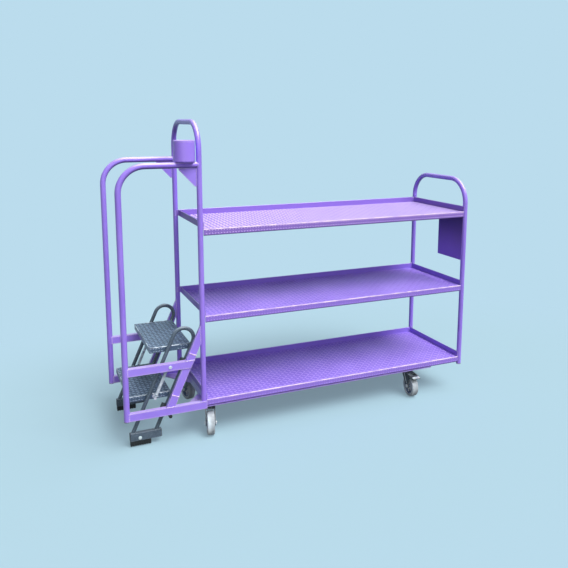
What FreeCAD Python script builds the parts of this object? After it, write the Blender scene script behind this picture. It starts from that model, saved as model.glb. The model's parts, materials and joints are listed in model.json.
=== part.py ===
"""Order picking trolley: three trays on a welded tube frame, with a sprung step unit at one end.

Frame: +Z up, +X from the step end to the far end, -Y is the front. The origin is on the floor
under the middle of the trolley. All sizes are in millimetres.
"""
import FreeCAD, Part
import math
import os

V = FreeCAD.Vector

# Welded frame
deck_span = 1625.0          # left hoop to right hoop, axis to axis
frame_width = 528.0         # front uprights to rear uprights, axis to axis
step_bay = 397.0            # handrail post to left hoop, axis to axis
upright_d = 28.0
upright_wall = 2.0
left_hoop_top = 1654.0
right_hoop_top = 1311.0
hoop_bend = 140.0           # bend radius at the tube's axis
handrail_d = 30.0
handrail_wall = 2.0
handrail_z = 1432.0
handrail_bend = 130.0
weld_setback = 7.0          # a butted tube stops this far short of the upright's axis
gusset_length = 88.0
gusset_height = 92.0
gusset_nose = 8.0           # blunt ends of a gusset
plate_t = 4.0
cap_flange = 2.0
cap_insert = 15.0

# Rails and braces beside the step bay
rail_h = 40.0
rail_t = 25.0
rail_wall = 2.0
mid_rail_z = 415.0
brace_width = 40.0
brace_t = 16.0
brace_lap = 4.0             # the lower part of each brace stands out by this
brace_offset = 79.6         # brace axis to left hoop axis, at the mid rail
upper_lap_z = 466.0
lower_lap_z = 257.0

# Trays and panels
bottom_floor_z = 208.0
tray_pitch = 451.0
tray_sheet = 2.0
tray_lip = 31.0
tray_overhang = 9.0         # front fold ahead of the uprights' axis
panel_sheet = 2.0
end_panel_w = 233.0
end_panel_h = 294.0
end_panel_fold = 12.0

# Pot on the front handrail
pot_d = 106.0
pot_h = 106.0
pot_sheet = 2.0
pot_rim = 3.0               # radius of the rolled rim
pot_bend = 7.0              # rounded lower edge, on the outside
pot_gap = 5.0               # pot to the left upright
pot_inset = 4.0             # pot's axis inside the handrail's axis

# Chassis under the bottom tray
chassis_t = 25.0
chassis_setback = 2.0       # behind the front fold of the bottom tray
chassis_tail = 120.0        # chassis rail beyond the right castors
corner_gusset_l = 130.0     # along the base rail
corner_gusset_w = 165.0     # along the cross member

# Castors
castor_height = 161.0
castor_left = 48.0          # left castor axis past the left hoop
castor_right = 328.0        # right castor axis short of the right hoop
castor_inset = 58.0         # castor axis inside the uprights' axis
castor_trail = 38.0
swing_left = 13.0           # left castors stand turned toward the step end, in degrees
swing_right = 5.0
castor_plate_l = 95.0
castor_plate_w = 85.0
castor_plate_t = 4.0
castor_pad_t = 5.0
bolt_span_l = 72.0
bolt_span_w = 60.0
castor_bolt_d = 8.0
wheel_d = 125.0
tyre_w = 38.0
tyre_round = 6.0
hub_d = 93.0
hub_w = 44.0
hub_boss_d = 28.0
hub_rim_t = 8.0
hub_web_t = 10.0
axle_d = 10.0
fork_t = 4.0
fork_crown_z = 138.0        # top of the fork's crown
fork_crown_t = 4.0
fork_foot_r = 17.0
fork_back = 34.0
fork_front = 34.0
kingpin_d = 12.0
race_d = 64.0
race_h = 6.0
swivel_d = 56.0
pedal_pivot_out = 30.0      # brake pin beyond the axle
pedal_pivot_z = 129.0
pedal_pin_d = 8.0
pedal_reach = 40.0          # pedal tip beyond its pin
pedal_tip_l = 20.0
pedal_tip_w = 46.0
pedal_t = 5.0
pedal_ear_r = 8.0
shoe_drop = 12.4            # brake shoe below the pin
shoe_near = 10.0            # brake shoe's two edges beyond the pin
shoe_far = 16.0
shoe_root = 18.4            # where the shoe leaves the pedal

# Step unit
step_angle = 24.5           # legs, braces and springs lean this far from upright, in degrees
leg_d = 20.0
leg_wall = 1.5
leg_inset = 40.7            # leg axis inside the uprights' axis
hand_hoop_r = 54.0          # bend of the hand hoop at the tube's axis
hand_hoop_rise = 88.0       # top of the hand hoop's axis above the upper tread
leg_gap = 48.0              # rear leg behind the left hoop's axis, at the upper tread
upper_tread_z = 507.0
tread_rise = 243.4
tread_depth = 213.0
tread_sheet = 3.0
tread_lip = 28.0
tread_tail = 4.0            # tread's rear edge ahead of the rear leg's axis
foot_bar_h = 40.0
foot_bar_w = 25.0
foot_bar_wall = 3.0
foot_front = 15.0           # foot bar ahead of the front leg
foot_back = 24.0            # foot bar behind the rear leg
foot_pad_l = 104.0
foot_pad_h = 28.0
floor_gap = 6.0             # pads hang this far above the floor
foot_bolt_d = 8.0
foot_bolt_back = 48.0       # pad bolt behind the foot bar's front end
foot_bolt_rise = 13.0       # pad bolt above the foot bar's underside
guide_w = 46.0
guide_l = 30.0
guide_wall = 4.0            # nylon beyond the leg, on its inner side
lower_guide_rise = 24.0     # lower guides above the underside of the base rails
guide_screw_d = 5.0
lug_t = 6.0
lug_up = 10.0               # lug above and below the stop bolt's axis
lug_down = 12.0
lug_reach = 44.0
stop_bolt_d = 8.0
stop_buffer_d = 18.0
stop_bolt_back = 30.0       # stop bolt behind the rear leg's axis

# Lift springs
spring_ahead = 84.0         # spring axis ahead of the rear leg's axis, along the trolley
spring_inset = 24.0         # spring axis inside the uprights' axis
spring_d = 17.0
spring_wire = 2.4
spring_turns = 45
spring_bolt_d = 8.0
spring_bolt_drop = 14.0     # spring bolt below the lower tread
eye_d = 15.0
eye_t = 5.0
eye_stem = 16.0             # from the bolt's axis to the coil
eye_tab_d = 3.6             # tab that the wire's end meets
eye_tab_drop = 5.0          # from the wire's end down to the eye's disc

# Bolts
head_height = 0.65          # head or nut, as a share of the bolt's diameter
head_flats = 1.6            # across flats, as a share of the bolt's diameter

# Clearances
running_gap = 0.1           # radial, for a shaft turning or sliding in a hole
free_gap = 0.3              # between faces that move past each other

# Places that follow from the sizes
total_length = (handrail_d + upright_d) / 2 + step_bay + deck_span
x_post = (handrail_d - total_length) / 2
x_left = x_post + step_bay
x_right = x_left + deck_span
y_front = -frame_width / 2
y_rear = frame_width / 2
base_z = castor_height
base_top = base_z + rail_h
rail_inner = y_front + rail_t / 2
tray_x0 = x_left + upright_d / 2
tray_x1 = x_right - upright_d / 2
tray_y0 = y_front - tray_overhang
tray_y1 = y_rear - upright_d / 2
top_floor_z = bottom_floor_z + 2 * tray_pitch
lean = math.tan(math.radians(step_angle))
sine = math.sin(math.radians(step_angle))
cosine = math.cos(math.radians(step_angle))
up_leg = V(sine, 0, cosine)
leg_y = y_front + leg_inset
lower_tread_z = upper_tread_z - tread_rise
foot_bottom = floor_gap + foot_pad_h
foot_top = foot_bottom + foot_bar_h
slide_travel = floor_gap / cosine


def rear_leg_x(z):
    """Rear leg's axis at a height."""
    return x_left - leg_gap + (z - upper_tread_z) * lean


def front_leg_x(z):
    """Front leg's axis at a height."""
    return rear_leg_x(z) - 2 * hand_hoop_r / cosine


def brace_x(z):
    """Brace's axis at a height."""
    return x_left - brace_offset + (z - mid_rail_z) * lean


def spring_x(z):
    """Spring's axis at a height."""
    return rear_leg_x(z) - spring_ahead


# Building blocks
def block(x0, x1, y0, y1, z0, z1):
    return Part.makeBox(x1 - x0, y1 - y0, z1 - z0, V(x0, y0, z0))


def rod(radius, start, end):
    return Part.makeCylinder(radius, (end - start).Length, start, end - start)


def prism(outline, push):
    """Solid pushed out of an outline, given as a list of points or as one closed wire."""
    if isinstance(outline, list):
        outline = Part.makePolygon(outline + [outline[0]])
    return Part.Face(outline).extrude(push)


def hexagon(flats, height, base, axis):
    """Hexagonal head or nut on a base point."""
    side = flats / math.sqrt(3)
    corners = []
    for i in range(6):
        turn = math.radians(60 * i)
        corners.append(V(side * math.cos(turn), side * math.sin(turn), 0))
    nut = prism(corners, V(0, 0, height))
    nut.Placement = FreeCAD.Placement(base, FreeCAD.Rotation(V(0, 0, 1), axis))
    return nut


def bent_path(points, bend):
    """Straight runs through the points, with an arc of one radius at each corner."""
    edges = []
    last = points[0]
    for before, corner, after in zip(points, points[1:], points[2:]):
        into = (corner - before).normalize()
        out = (after - corner).normalize()
        half = into.getAngle(out) / 2
        cut = bend * math.tan(half)
        start = corner - into * cut
        end = corner + out * cut
        toward = (out - into).normalize()
        middle = corner + toward * (bend / math.cos(half) - bend)
        edges.append(Part.LineSegment(last, start).toShape())
        edges.append(Part.Arc(start, middle, end).toShape())
        last = end
    edges.append(Part.LineSegment(last, points[-1]).toShape())
    return Part.Wire(edges)


def sweep(path, radius):
    """Round bar along a path."""
    first = path.OrderedEdges[0]
    start = first.valueAt(first.FirstParameter)
    ring = Part.makeCircle(radius, start, first.tangentAt(first.FirstParameter))
    return path.makePipeShell([Part.Wire([ring])], True, False)


def tube(path, diameter, wall):
    return sweep(path, diameter / 2).cut(sweep(path, diameter / 2 - wall))


def box_tube(x0, x1, y0, y1, z0, z1, wall):
    """Box section along X, open at its ends."""
    return block(x0, x1, y0, y1, z0, z1).cut(
        block(x0, x1, y0 + wall, y1 - wall, z0 + wall, z1 - wall))


def mirrored(shape):
    """The same piece on the other long side."""
    return shape.mirror(V(0, 0, 0), V(0, 1, 0))


def leaning(shape, x, y, z):
    """Piece drawn upright about the origin, leaned like the legs and moved to its place."""
    shape.Placement = FreeCAD.Placement(V(x, y, z), FreeCAD.Rotation(V(0, 1, 0), step_angle))
    return shape


def turned_x(profile, x, y, z):
    """Solid of revolution about an X axis, from (x, radius) points."""
    points = [V(px, radius, 0) for px, radius in profile]
    face = Part.Face(Part.makePolygon(points + [points[0]]))
    solid = face.revolve(V(0, 0, 0), V(1, 0, 0), 360)
    solid.translate(V(x, y, z))
    return solid


# Frame pieces
def hoop(x, foot_z, top):
    """Inverted U of tube across the trolley."""
    axis_z = top - upright_d / 2
    corners = [V(x, y_front, foot_z), V(x, y_front, axis_z), V(x, y_rear, axis_z), V(x, y_rear, foot_z)]
    return tube(bent_path(corners, hoop_bend), upright_d, upright_wall)


def left_upright():
    """Solid bar on the axis of the front left upright, to trim what is welded to it."""
    return rod(upright_d / 2, V(x_left, y_front, 0), V(x_left, y_front, left_hoop_top))


def handrail():
    """Rail from the left hoop, bent down into the post."""
    corners = [V(x_left - weld_setback, y_front, handrail_z), V(x_post, y_front, handrail_z),
               V(x_post, y_front, base_z)]
    return tube(bent_path(corners, handrail_bend), handrail_d, handrail_wall).cut(left_upright())


def post_bar():
    """Solid bar on the axis of the front post, to trim the rails."""
    return rod(handrail_d / 2, V(x_post, y_front, base_z), V(x_post, y_front, handrail_z - handrail_bend))


def handrail_gusset():
    """Triangular plate under the handrail, against the upright."""
    x = x_left - upright_d / 2
    z = handrail_z - handrail_d / 2
    y = y_front - plate_t / 2
    corners = [V(x, y, z), V(x - gusset_length, y, z), V(x - gusset_length, y, z - gusset_nose),
               V(x - gusset_nose, y, z - gusset_height), V(x, y, z - gusset_height)]
    return prism(corners, V(0, plate_t, 0))


def pot_seat():
    """Middle of the pot's underside, on top of the front handrail."""
    return V(x_left - upright_d / 2 - pot_gap - pot_d / 2, y_front + pot_inset, handrail_z + handrail_d / 2)


def tool_pot():
    """Round open pot of sheet metal with a rolled rim, turned about its axis."""
    r = pot_d / 2
    inner = r - pot_sheet
    rim_x = r - pot_rim
    rim_z = pot_h - pot_rim
    meet_z = rim_z - math.sqrt(pot_rim ** 2 - (pot_rim - pot_sheet) ** 2)
    diagonal = math.sqrt(0.5)
    bend_at = V(r - pot_bend, 0, pot_bend)
    outward = V(diagonal, 0, -diagonal)
    under = V(r - pot_bend, 0, 0)
    side = V(r, 0, pot_bend)
    rim_out = V(r, 0, rim_z)
    rim_in = V(rim_x - pot_rim, 0, rim_z)
    meet = V(inner, 0, meet_z)
    inner_side = V(inner, 0, pot_bend)
    floor = V(r - pot_bend, 0, pot_sheet)
    edges = [
        Part.LineSegment(V(0, 0, 0), under),
        Part.Arc(under, bend_at + outward * pot_bend, side),
        Part.LineSegment(side, rim_out),
        Part.Arc(rim_out, V(rim_x, 0, pot_h), rim_in),
        Part.Arc(rim_in, V(rim_x, 0, rim_z) - V(diagonal, 0, diagonal) * pot_rim, meet),
        Part.LineSegment(meet, inner_side),
        Part.Arc(inner_side, bend_at + outward * (pot_bend - pot_sheet), floor),
        Part.LineSegment(floor, V(0, 0, pot_sheet)),
        Part.LineSegment(V(0, 0, pot_sheet), V(0, 0, 0)),
    ]
    section = Part.Face(Part.Wire([edge.toShape() for edge in edges]))
    pot = section.revolve(V(0, 0, 0), V(0, 0, 1), 360)
    pot.translate(pot_seat())
    return pot


def end_panel():
    """Sheet under the top tray at the right end, folded at its free edges."""
    x1 = tray_x1
    x0 = x1 - panel_sheet
    y0 = y_front - panel_sheet
    y1 = y0 + end_panel_w
    z1 = top_floor_z - tray_sheet
    z0 = z1 - end_panel_h
    sheet = block(x0, x1, y0, y1, z0, z1)
    low_fold = block(x0, x0 + end_panel_fold, y_front + upright_d, y1, z0, z0 + panel_sheet)
    side_fold = block(x0, x0 + end_panel_fold, y1 - panel_sheet, y1, z0, z1)
    return sheet.fuse([low_fold, side_fold]).removeSplitter()


def base_rail():
    rail = box_tube(x_post, tray_x0, y_front - rail_t / 2, rail_inner, base_z, base_top, rail_wall)
    return rail.cut(post_bar())


def mid_rail():
    """Rail from the post to the far edge of the brace, cut along the brace."""
    z0 = mid_rail_z - rail_h / 2
    z1 = mid_rail_z + rail_h / 2
    past = brace_width / 2 / cosine
    rail = box_tube(x_post, x_left, y_front - rail_t / 2, rail_inner, z0, z1, rail_wall)
    low = V(brace_x(z0) + past, y_front - rail_t, z0)
    high = V(brace_x(z1) + past, y_front - rail_t, z1)
    far_x = x_left + rail_h
    beyond = prism([low, high, V(far_x, low.y, z1), V(far_x, low.y, z0)], V(0, 2 * rail_t, 0))
    bolt = rod(spring_bolt_d / 2, V(spring_x(mid_rail_z), y_front - rail_t, mid_rail_z),
               V(spring_x(mid_rail_z), y_front + rail_t, mid_rail_z))
    return rail.cut([beyond, post_bar(), bolt])


def brace_edges(z):
    """Left and right edge of the brace where a square cut crosses its axis."""
    half = brace_width / 2
    left = V(brace_x(z) - half * cosine, 0, z + half * sine)
    right = V(brace_x(z) + half * cosine, 0, z - half * sine)
    return left, right


def brace(z0, far_end, lap_z):
    """Slanted bar from a rail, with a thicker lower part. far_end holds its two upper corners."""
    past = V(brace_width / 2 / cosine, 0, 0)
    foot = V(brace_x(z0), 0, z0)
    left, right = brace_edges(lap_z)
    bar = [foot - past, foot + past] + far_end
    lap = [foot - past, foot + past, right, left]
    back = V(0, y_front - brace_t / 2, 0)
    front = back - V(0, brace_lap, 0)
    return prism([p + back for p in bar], V(0, brace_t, 0)).fuse(
        prism([p + front for p in lap], V(0, brace_lap, 0))).removeSplitter()


def upper_brace():
    """From the mid rail to the left upright."""
    past = brace_width / 2 / cosine
    end_x = x_left - weld_setback
    axis_z = mid_rail_z + (end_x - brace_x(mid_rail_z)) / lean
    far_end = [V(end_x, 0, axis_z - past / lean), V(end_x, 0, axis_z + past / lean)]
    return brace(mid_rail_z + rail_h / 2, far_end, upper_lap_z).cut(left_upright())


def lower_brace():
    """From the base rail to the mid rail."""
    past = brace_width / 2 / cosine
    top = mid_rail_z - rail_h / 2
    far_end = [V(brace_x(top) + past, 0, top), V(brace_x(top) - past, 0, top)]
    return brace(base_top, far_end, lower_lap_z)


def tray(floor_z):
    """Floor with upstands behind and at both ends, and its front edge folded down."""
    low = floor_z - tray_sheet
    high = floor_z + tray_lip
    floor = block(tray_x0, tray_x1, tray_y0, tray_y1, low, floor_z)
    fold = block(tray_x0, tray_x1, tray_y0, tray_y0 + tray_sheet, floor_z - tray_lip, floor_z)
    rear = block(x_left, x_right, tray_y1 - tray_sheet, tray_y1, low, high)
    left = block(tray_x0, tray_x0 + tray_sheet, tray_y0, tray_y1, low, high)
    right = block(tray_x1 - tray_sheet, tray_x1, tray_y0, tray_y1, low, high)
    return floor.fuse([fold, rear, left, right]).removeSplitter()


def tube_caps():
    """Plugs in the open ends of the posts and of the right uprights."""
    caps = []
    for x, diameter, wall in ((x_post, handrail_d, handrail_wall), (x_right, upright_d, upright_wall)):
        base = V(x, y_front, base_z)
        plug = rod(diameter / 2 - wall, base, base + V(0, 0, cap_insert))
        cap = plug.fuse(rod(diameter / 2, base - V(0, 0, cap_flange), base)).removeSplitter()
        caps += [cap, mirrored(cap)]
    return Part.makeCompound(caps)


# Chassis and castor seats
chassis_y0 = tray_y0 + tray_sheet + chassis_setback
chassis_y1 = chassis_y0 + chassis_t
chassis_z0 = base_z + castor_pad_t
chassis_z1 = bottom_floor_z - tray_sheet
castor_y = y_front + castor_inset
castor_xs = {"left": x_left + castor_left, "right": x_right - castor_right}
castor_swings = {"left": swing_left, "right": swing_right}
cross_w = 2 * (castor_left - upright_d / 2)
axle_y = castor_y - castor_trail
axle_z = wheel_d / 2
fork_gap = hub_w + 2 * free_gap
fork_x = fork_gap / 2 + fork_t


def chassis_rail():
    end = castor_xs["right"] + chassis_tail
    return box_tube(x_left + upright_d / 2, end, chassis_y0, chassis_y1, chassis_z0, chassis_z1, rail_wall)


def cross_members():
    """One box section across the chassis above each pair of castors."""
    bars = []
    for x in castor_xs.values():
        outer = block(x - cross_w / 2, x + cross_w / 2, chassis_y1, -chassis_y1, chassis_z0, chassis_z1)
        inner = block(x - cross_w / 2 + rail_wall, x + cross_w / 2 - rail_wall, chassis_y1, -chassis_y1,
                      chassis_z0 + rail_wall, chassis_z1 - rail_wall)
        bars.append(outer.cut([inner] + castor_bolt_room(x)))
    return Part.makeCompound(bars)


def corner_gussets():
    """Flat triangles in the corners of the base rails and the left cross member, beside the castor pads."""
    corner = V(tray_x0, rail_inner, base_z)
    plate = prism([corner, corner - V(corner_gusset_l, 0, 0), corner + V(0, corner_gusset_w, 0)],
                  V(0, 0, castor_pad_t)).cut(castor_pad(castor_xs["left"]))
    return Part.makeCompound([plate, mirrored(plate)])


def castor_bolt_places(x):
    """Axes of the four bolts of a front castor."""
    places = []
    for dx in (-bolt_span_l / 2, bolt_span_l / 2):
        for dy in (-bolt_span_w / 2, bolt_span_w / 2):
            places.append(V(x + dx, castor_y + dy, 0))
    return places


def castor_bolt_room(x):
    """Bars that clear the castor bolts out of what they pass, on both long sides."""
    low = V(0, 0, base_z - castor_plate_t)
    high = V(0, 0, chassis_z1 - rail_wall)
    bars = [rod(castor_bolt_d, p + low, p + high) for p in castor_bolt_places(x)]
    return bars + [mirrored(bar) for bar in bars]


def castor_holes(x):
    return [rod(castor_bolt_d / 2, p, p + V(0, 0, base_z + rail_h)) for p in castor_bolt_places(x)]


def castor_pad(x):
    half = castor_y - rail_inner
    return block(x - castor_plate_l / 2, x + castor_plate_l / 2, castor_y - half, castor_y + half,
                 base_z, chassis_z0)


def castor_pads():
    """Plates under the chassis that the castors bolt to."""
    pads = []
    for x in castor_xs.values():
        pad = castor_pad(x).cut(castor_holes(x))
        pads += [pad, mirrored(pad)]
    return Part.makeCompound(pads)


def castor_top_plates():
    """Castor plates, each with a ball race pressed into its underside."""
    plates = []
    low = base_z - castor_plate_t
    for x in castor_xs.values():
        plate = block(x - castor_plate_l / 2, x + castor_plate_l / 2, castor_y - castor_plate_w / 2,
                      castor_y + castor_plate_w / 2, low, base_z)
        race = rod(race_d / 2, V(x, castor_y, low - race_h), V(x, castor_y, low))
        pin = rod(kingpin_d / 2, V(x, castor_y, 0), V(x, castor_y, base_z))
        plate = plate.fuse(race).cut([pin] + castor_holes(x)).removeSplitter()
        plates += [plate, mirrored(plate)]
    return Part.makeCompound(plates)


def castor_kingpins():
    """Pins that the forks swivel on, with a nut under the crown."""
    pins = []
    under = fork_crown_z - fork_crown_t - free_gap
    nut_h = head_height * kingpin_d
    for x in castor_xs.values():
        pin = rod(kingpin_d / 2, V(x, castor_y, under - nut_h), V(x, castor_y, base_z))
        nut = hexagon(head_flats * kingpin_d, nut_h, V(x, castor_y, under - nut_h), V(0, 0, 1))
        pin = pin.fuse(nut).removeSplitter()
        pins += [pin, mirrored(pin)]
    return Part.makeCompound(pins)


def castor_bolts():
    """Bolts through the castor plates and pads, heads below, nuts above."""
    bolts = []
    head = head_height * castor_bolt_d
    flats = head_flats * castor_bolt_d
    low = base_z - castor_plate_t
    for x in castor_xs.values():
        for place in castor_bolt_places(x):
            shank = rod(castor_bolt_d / 2, place + V(0, 0, low), place + V(0, 0, chassis_z0 + head))
            under = hexagon(flats, head, place + V(0, 0, low - head), V(0, 0, 1))
            nut = hexagon(flats, head, place + V(0, 0, chassis_z0), V(0, 0, 1))
            bolt = shank.fuse([under, nut]).removeSplitter()
            bolts += [bolt, mirrored(bolt)]
    return Part.makeCompound(bolts)


# Castor forks, wheels and brakes
def fork_cheek(x, braked):
    """Side of a fork. A braked one reaches out to hold the pedal's pin."""
    top = V(0, castor_y, fork_crown_z)
    hub = V(0, axle_y, axle_z)
    back = top + V(0, fork_back, 0)
    foot_back = hub + V(0, fork_foot_r, 0)
    foot_low = hub - V(0, 0, fork_foot_r)
    foot_front = hub - V(0, fork_foot_r, 0)
    edge = [Part.LineSegment(back, foot_back), Part.Arc(foot_back, foot_low, foot_front)]
    corners = [foot_front]
    if braked:
        pin = V(0, axle_y - pedal_pivot_out, pedal_pivot_z)
        reach = pedal_ear_r + pedal_pin_d / 2
        corners += [pin + V(0, reach, -2 * reach), pin - V(0, reach, pedal_ear_r),
                    V(0, pin.y - reach, fork_crown_z)]
    else:
        corners.append(top - V(0, fork_front, 0))
    corners.append(back)
    edge += [Part.LineSegment(a, b) for a, b in zip(corners, corners[1:])]
    cheek = prism(Part.Wire([e.toShape() for e in edge]), V(fork_t, 0, 0))
    cheek.translate(V(x, 0, 0))
    return cheek


def castor_fork(x, braked):
    """Crown with its swivel ring, and two cheeks."""
    low = fork_crown_z - fork_crown_t
    ring_top = base_z - castor_plate_t - race_h - free_gap
    crown = block(x - fork_x, x + fork_x, castor_y - fork_front, castor_y + fork_back, low, fork_crown_z)
    ring = rod(swivel_d / 2, V(x, castor_y, low), V(x, castor_y, ring_top))
    cheeks = [fork_cheek(x - fork_x, braked), fork_cheek(x + fork_x - fork_t, braked)]
    fork = crown.fuse([ring] + cheeks)
    pin = rod(kingpin_d / 2 + running_gap, V(x, castor_y, 0), V(x, castor_y, castor_height))
    holes = [pin, rod(axle_d / 2, V(x - 2 * fork_x, axle_y, axle_z), V(x + 2 * fork_x, axle_y, axle_z))]
    if braked:
        y = axle_y - pedal_pivot_out
        holes.append(rod(pedal_pin_d / 2 + running_gap, V(x - 2 * fork_x, y, pedal_pivot_z),
                         V(x + 2 * fork_x, y, pedal_pivot_z)))
    return fork.cut(holes).removeSplitter()


def castor_axle(x):
    """Axle bolt with a head on one side and a nut on the other."""
    head = head_height * axle_d
    flats = head_flats * axle_d
    centre = V(x, axle_y, axle_z)
    out = V(fork_x, 0, 0)
    shank = rod(axle_d / 2, centre - out, centre + out + V(head, 0, 0))
    return shank.fuse([hexagon(flats, head, centre - out - V(head, 0, 0), V(1, 0, 0)),
                       hexagon(flats, head, centre + out, V(1, 0, 0))]).removeSplitter()


def castor_hub(x):
    """Wheel core: boss, web and rim about the axle."""
    bore = axle_d / 2 + running_gap
    boss = hub_boss_d / 2
    rim = hub_d / 2
    well = rim - hub_rim_t
    half = hub_w / 2
    web = hub_web_t / 2
    edge = tyre_w / 2 - tyre_round / 2
    profile = [(-half, bore), (-half, boss), (-web, boss), (-web, well), (-edge, well), (-edge, rim),
               (edge, rim), (edge, well), (web, well), (web, boss), (half, boss), (half, bore)]
    return turned_x(profile, x, axle_y, axle_z)


def castor_tyre(x):
    """Tread ring with rounded shoulders."""
    half = tyre_w / 2
    profile = [(-half, hub_d / 2), (-half, wheel_d / 2), (half, wheel_d / 2), (half, hub_d / 2)]
    ring = turned_x(profile, x, axle_y, axle_z)
    shoulders = [e for e in ring.Edges if e.BoundBox.XLength < 1 and e.BoundBox.ZLength > wheel_d - 1]
    return ring.makeFillet(tyre_round, shoulders)


def brake_pedal(x):
    """Foot pedal on its pin, with a shoe above the tyre."""
    pin = V(x, axle_y - pedal_pivot_out, pedal_pivot_z)
    inner = fork_gap / 2 - 2 * free_gap
    ear = rod(pedal_ear_r, pin - V(inner, 0, 0), pin + V(inner, 0, 0))
    top = pedal_ear_r
    arm = [V(0, 0, top), V(0, -pedal_reach, top - pedal_t), V(0, -pedal_reach, top - 2 * pedal_t),
           V(0, -shoe_root, 0), V(0, -shoe_far, -shoe_drop), V(0, -shoe_near, -shoe_drop),
           V(0, 0, -pedal_pin_d / 2)]
    plate = prism([p + pin - V(inner, 0, 0) for p in arm], V(2 * inner, 0, 0))
    wing = pedal_tip_w / 2
    wing_y = pedal_tip_l - pedal_reach
    fall = pedal_t * pedal_tip_l / pedal_reach
    tip = [V(0, wing_y, top - pedal_t + fall), V(0, -pedal_reach, top - pedal_t),
           V(0, -pedal_reach, top - 2 * pedal_t), V(0, wing_y, top - 2 * pedal_t + fall)]
    tread = prism([p + pin - V(wing, 0, 0) for p in tip], V(2 * wing, 0, 0))
    shaft = rod(pedal_pin_d / 2, pin - V(fork_x + free_gap, 0, 0), pin + V(fork_x + free_gap, 0, 0))
    return ear.fuse([plate, tread, shaft]).removeSplitter()


# Step unit
def side_frame():
    """Two leaning legs and the hand hoop between them, cut level on the foot bar."""
    centre_z = upper_tread_z + hand_hoop_rise - hand_hoop_r
    centre_x = rear_leg_x(centre_z) - hand_hoop_r / cosine
    centre = V(centre_x, leg_y, centre_z)
    across = V(cosine, 0, -sine) * hand_hoop_r
    down = -up_leg * ((centre_z - foot_bottom) / cosine + hand_hoop_r)
    front = centre - across
    rear = centre + across
    path = Part.Wire([
        Part.LineSegment(front + down, front).toShape(),
        Part.Arc(front, centre + up_leg * hand_hoop_r, rear).toShape(),
        Part.LineSegment(rear, rear + down).toShape()])
    reach = total_length
    below = block(-reach, reach, -reach, reach, -reach, foot_top)
    return tube(path, leg_d, leg_wall).cut(below)


def tread(top_z):
    """Plate between the side frames with its four edges folded down."""
    x1 = rear_leg_x(top_z) - tread_tail
    x0 = x1 - tread_depth
    y0 = leg_y + leg_d / 2
    low = top_z - tread_lip
    outer = block(x0, x1, y0, -y0, low, top_z)
    inner = block(x0 + tread_sheet, x1 - tread_sheet, y0 + tread_sheet, -y0 - tread_sheet,
                  low, top_z - tread_sheet)
    return outer.cut(inner)


def lower_tread():
    """Lower tread, drilled for the spring bolts."""
    plate = tread(lower_tread_z)
    place = spring_bolt_place()
    hole = rod(spring_bolt_d / 2, place, V(place.x, 0, place.z))
    return plate.cut([hole, mirrored(hole)])


def foot_bar_ends():
    return front_leg_x(foot_top) - foot_front, rear_leg_x(foot_top) + foot_back


def foot_bolt_axis():
    """Start and end of the bolt through a foot bar."""
    x = foot_bar_ends()[0] + foot_bolt_back
    z = foot_bottom + foot_bolt_rise
    half = foot_bar_w / 2
    return V(x, leg_y - half, z), V(x, leg_y + half, z)


def foot_bar():
    x0, x1 = foot_bar_ends()
    half = foot_bar_w / 2
    bar = box_tube(x0, x1, leg_y - half, leg_y + half, foot_bottom, foot_top, foot_bar_wall)
    start, end = foot_bolt_axis()
    return bar.cut(rod(foot_bolt_d / 2, start, end))


def foot_pad():
    """Rubber block under the front of the foot bar."""
    x0 = foot_bar_ends()[0]
    half = foot_bar_w / 2
    pad = block(x0, x0 + foot_pad_l, leg_y - half, leg_y + half, floor_gap, foot_bottom)
    low_edges = [e for e in pad.Edges if e.BoundBox.ZMax < floor_gap + 1]
    return pad.makeChamfer(foot_bar_wall, low_edges)


def through_bolt(start, end, diameter):
    """Bolt with a head at its start and a nut at its end."""
    head = head_height * diameter
    flats = head_flats * diameter
    along = (end - start).normalize()
    shank = rod(diameter / 2, start, end + along * head)
    return shank.fuse([hexagon(flats, head, start - along * head, along),
                       hexagon(flats, head, end, along)]).removeSplitter()


def foot_bolts():
    start, end = foot_bolt_axis()
    bolt = through_bolt(start, end, foot_bolt_d)
    return Part.makeCompound([bolt, mirrored(bolt)])


def leg_bar(z0, z1, extra):
    """Bar on the rear leg's axis between two heights, larger than the leg by a clearance."""
    return rod(leg_d / 2 + extra, V(rear_leg_x(z0), leg_y, z0), V(rear_leg_x(z1), leg_y, z1))


def stop_bolt_place():
    z = base_z - free_gap - stop_buffer_d / 2
    return V(rear_leg_x(z) + stop_bolt_back, leg_y, z)


def stop_lugs():
    """Plates on the rear legs that carry the stop bolts under the base rails."""
    place = stop_bolt_place()
    z0 = place.z - lug_down
    z1 = place.z + lug_up
    x0 = rear_leg_x(place.z)
    plate = block(x0, x0 + lug_reach, leg_y - lug_t / 2, leg_y + lug_t / 2, z0, z1)
    bolt = rod(stop_bolt_d / 2, place - V(0, lug_t, 0), place + V(0, lug_t, 0))
    plate = plate.cut([leg_bar(foot_top, base_top, 0), bolt])
    return Part.makeCompound([plate, mirrored(plate)])


def stop_bolts():
    """Bolts through the lugs, each with a round buffer under the base rail."""
    place = stop_bolt_place()
    face = V(place.x, leg_y - lug_t / 2, place.z)
    bolt = through_bolt(V(place.x, y_front - rail_t / 2, place.z), face + V(0, lug_t, 0), stop_bolt_d)
    buffer = rod(stop_buffer_d / 2, V(place.x, y_front - rail_t / 2, place.z), face)
    bolt = bolt.fuse(buffer).removeSplitter()
    return Part.makeCompound([bolt, mirrored(bolt)])


# Step guides
guide_zs = (mid_rail_z, base_z + lower_guide_rise)


def guide_screw_axes(z):
    """Start and end of the two screws that hold a guide to its rail."""
    side = V(cosine, 0, -sine) * (guide_w / 2 + leg_d / 2) / 2
    start = V(rear_leg_x(z), leg_y + leg_d / 2 + guide_wall, z)
    end = V(start.x, rail_inner - 2 * rail_wall, z)
    return [(start + side, end + side), (start - side, end - side)]


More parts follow.
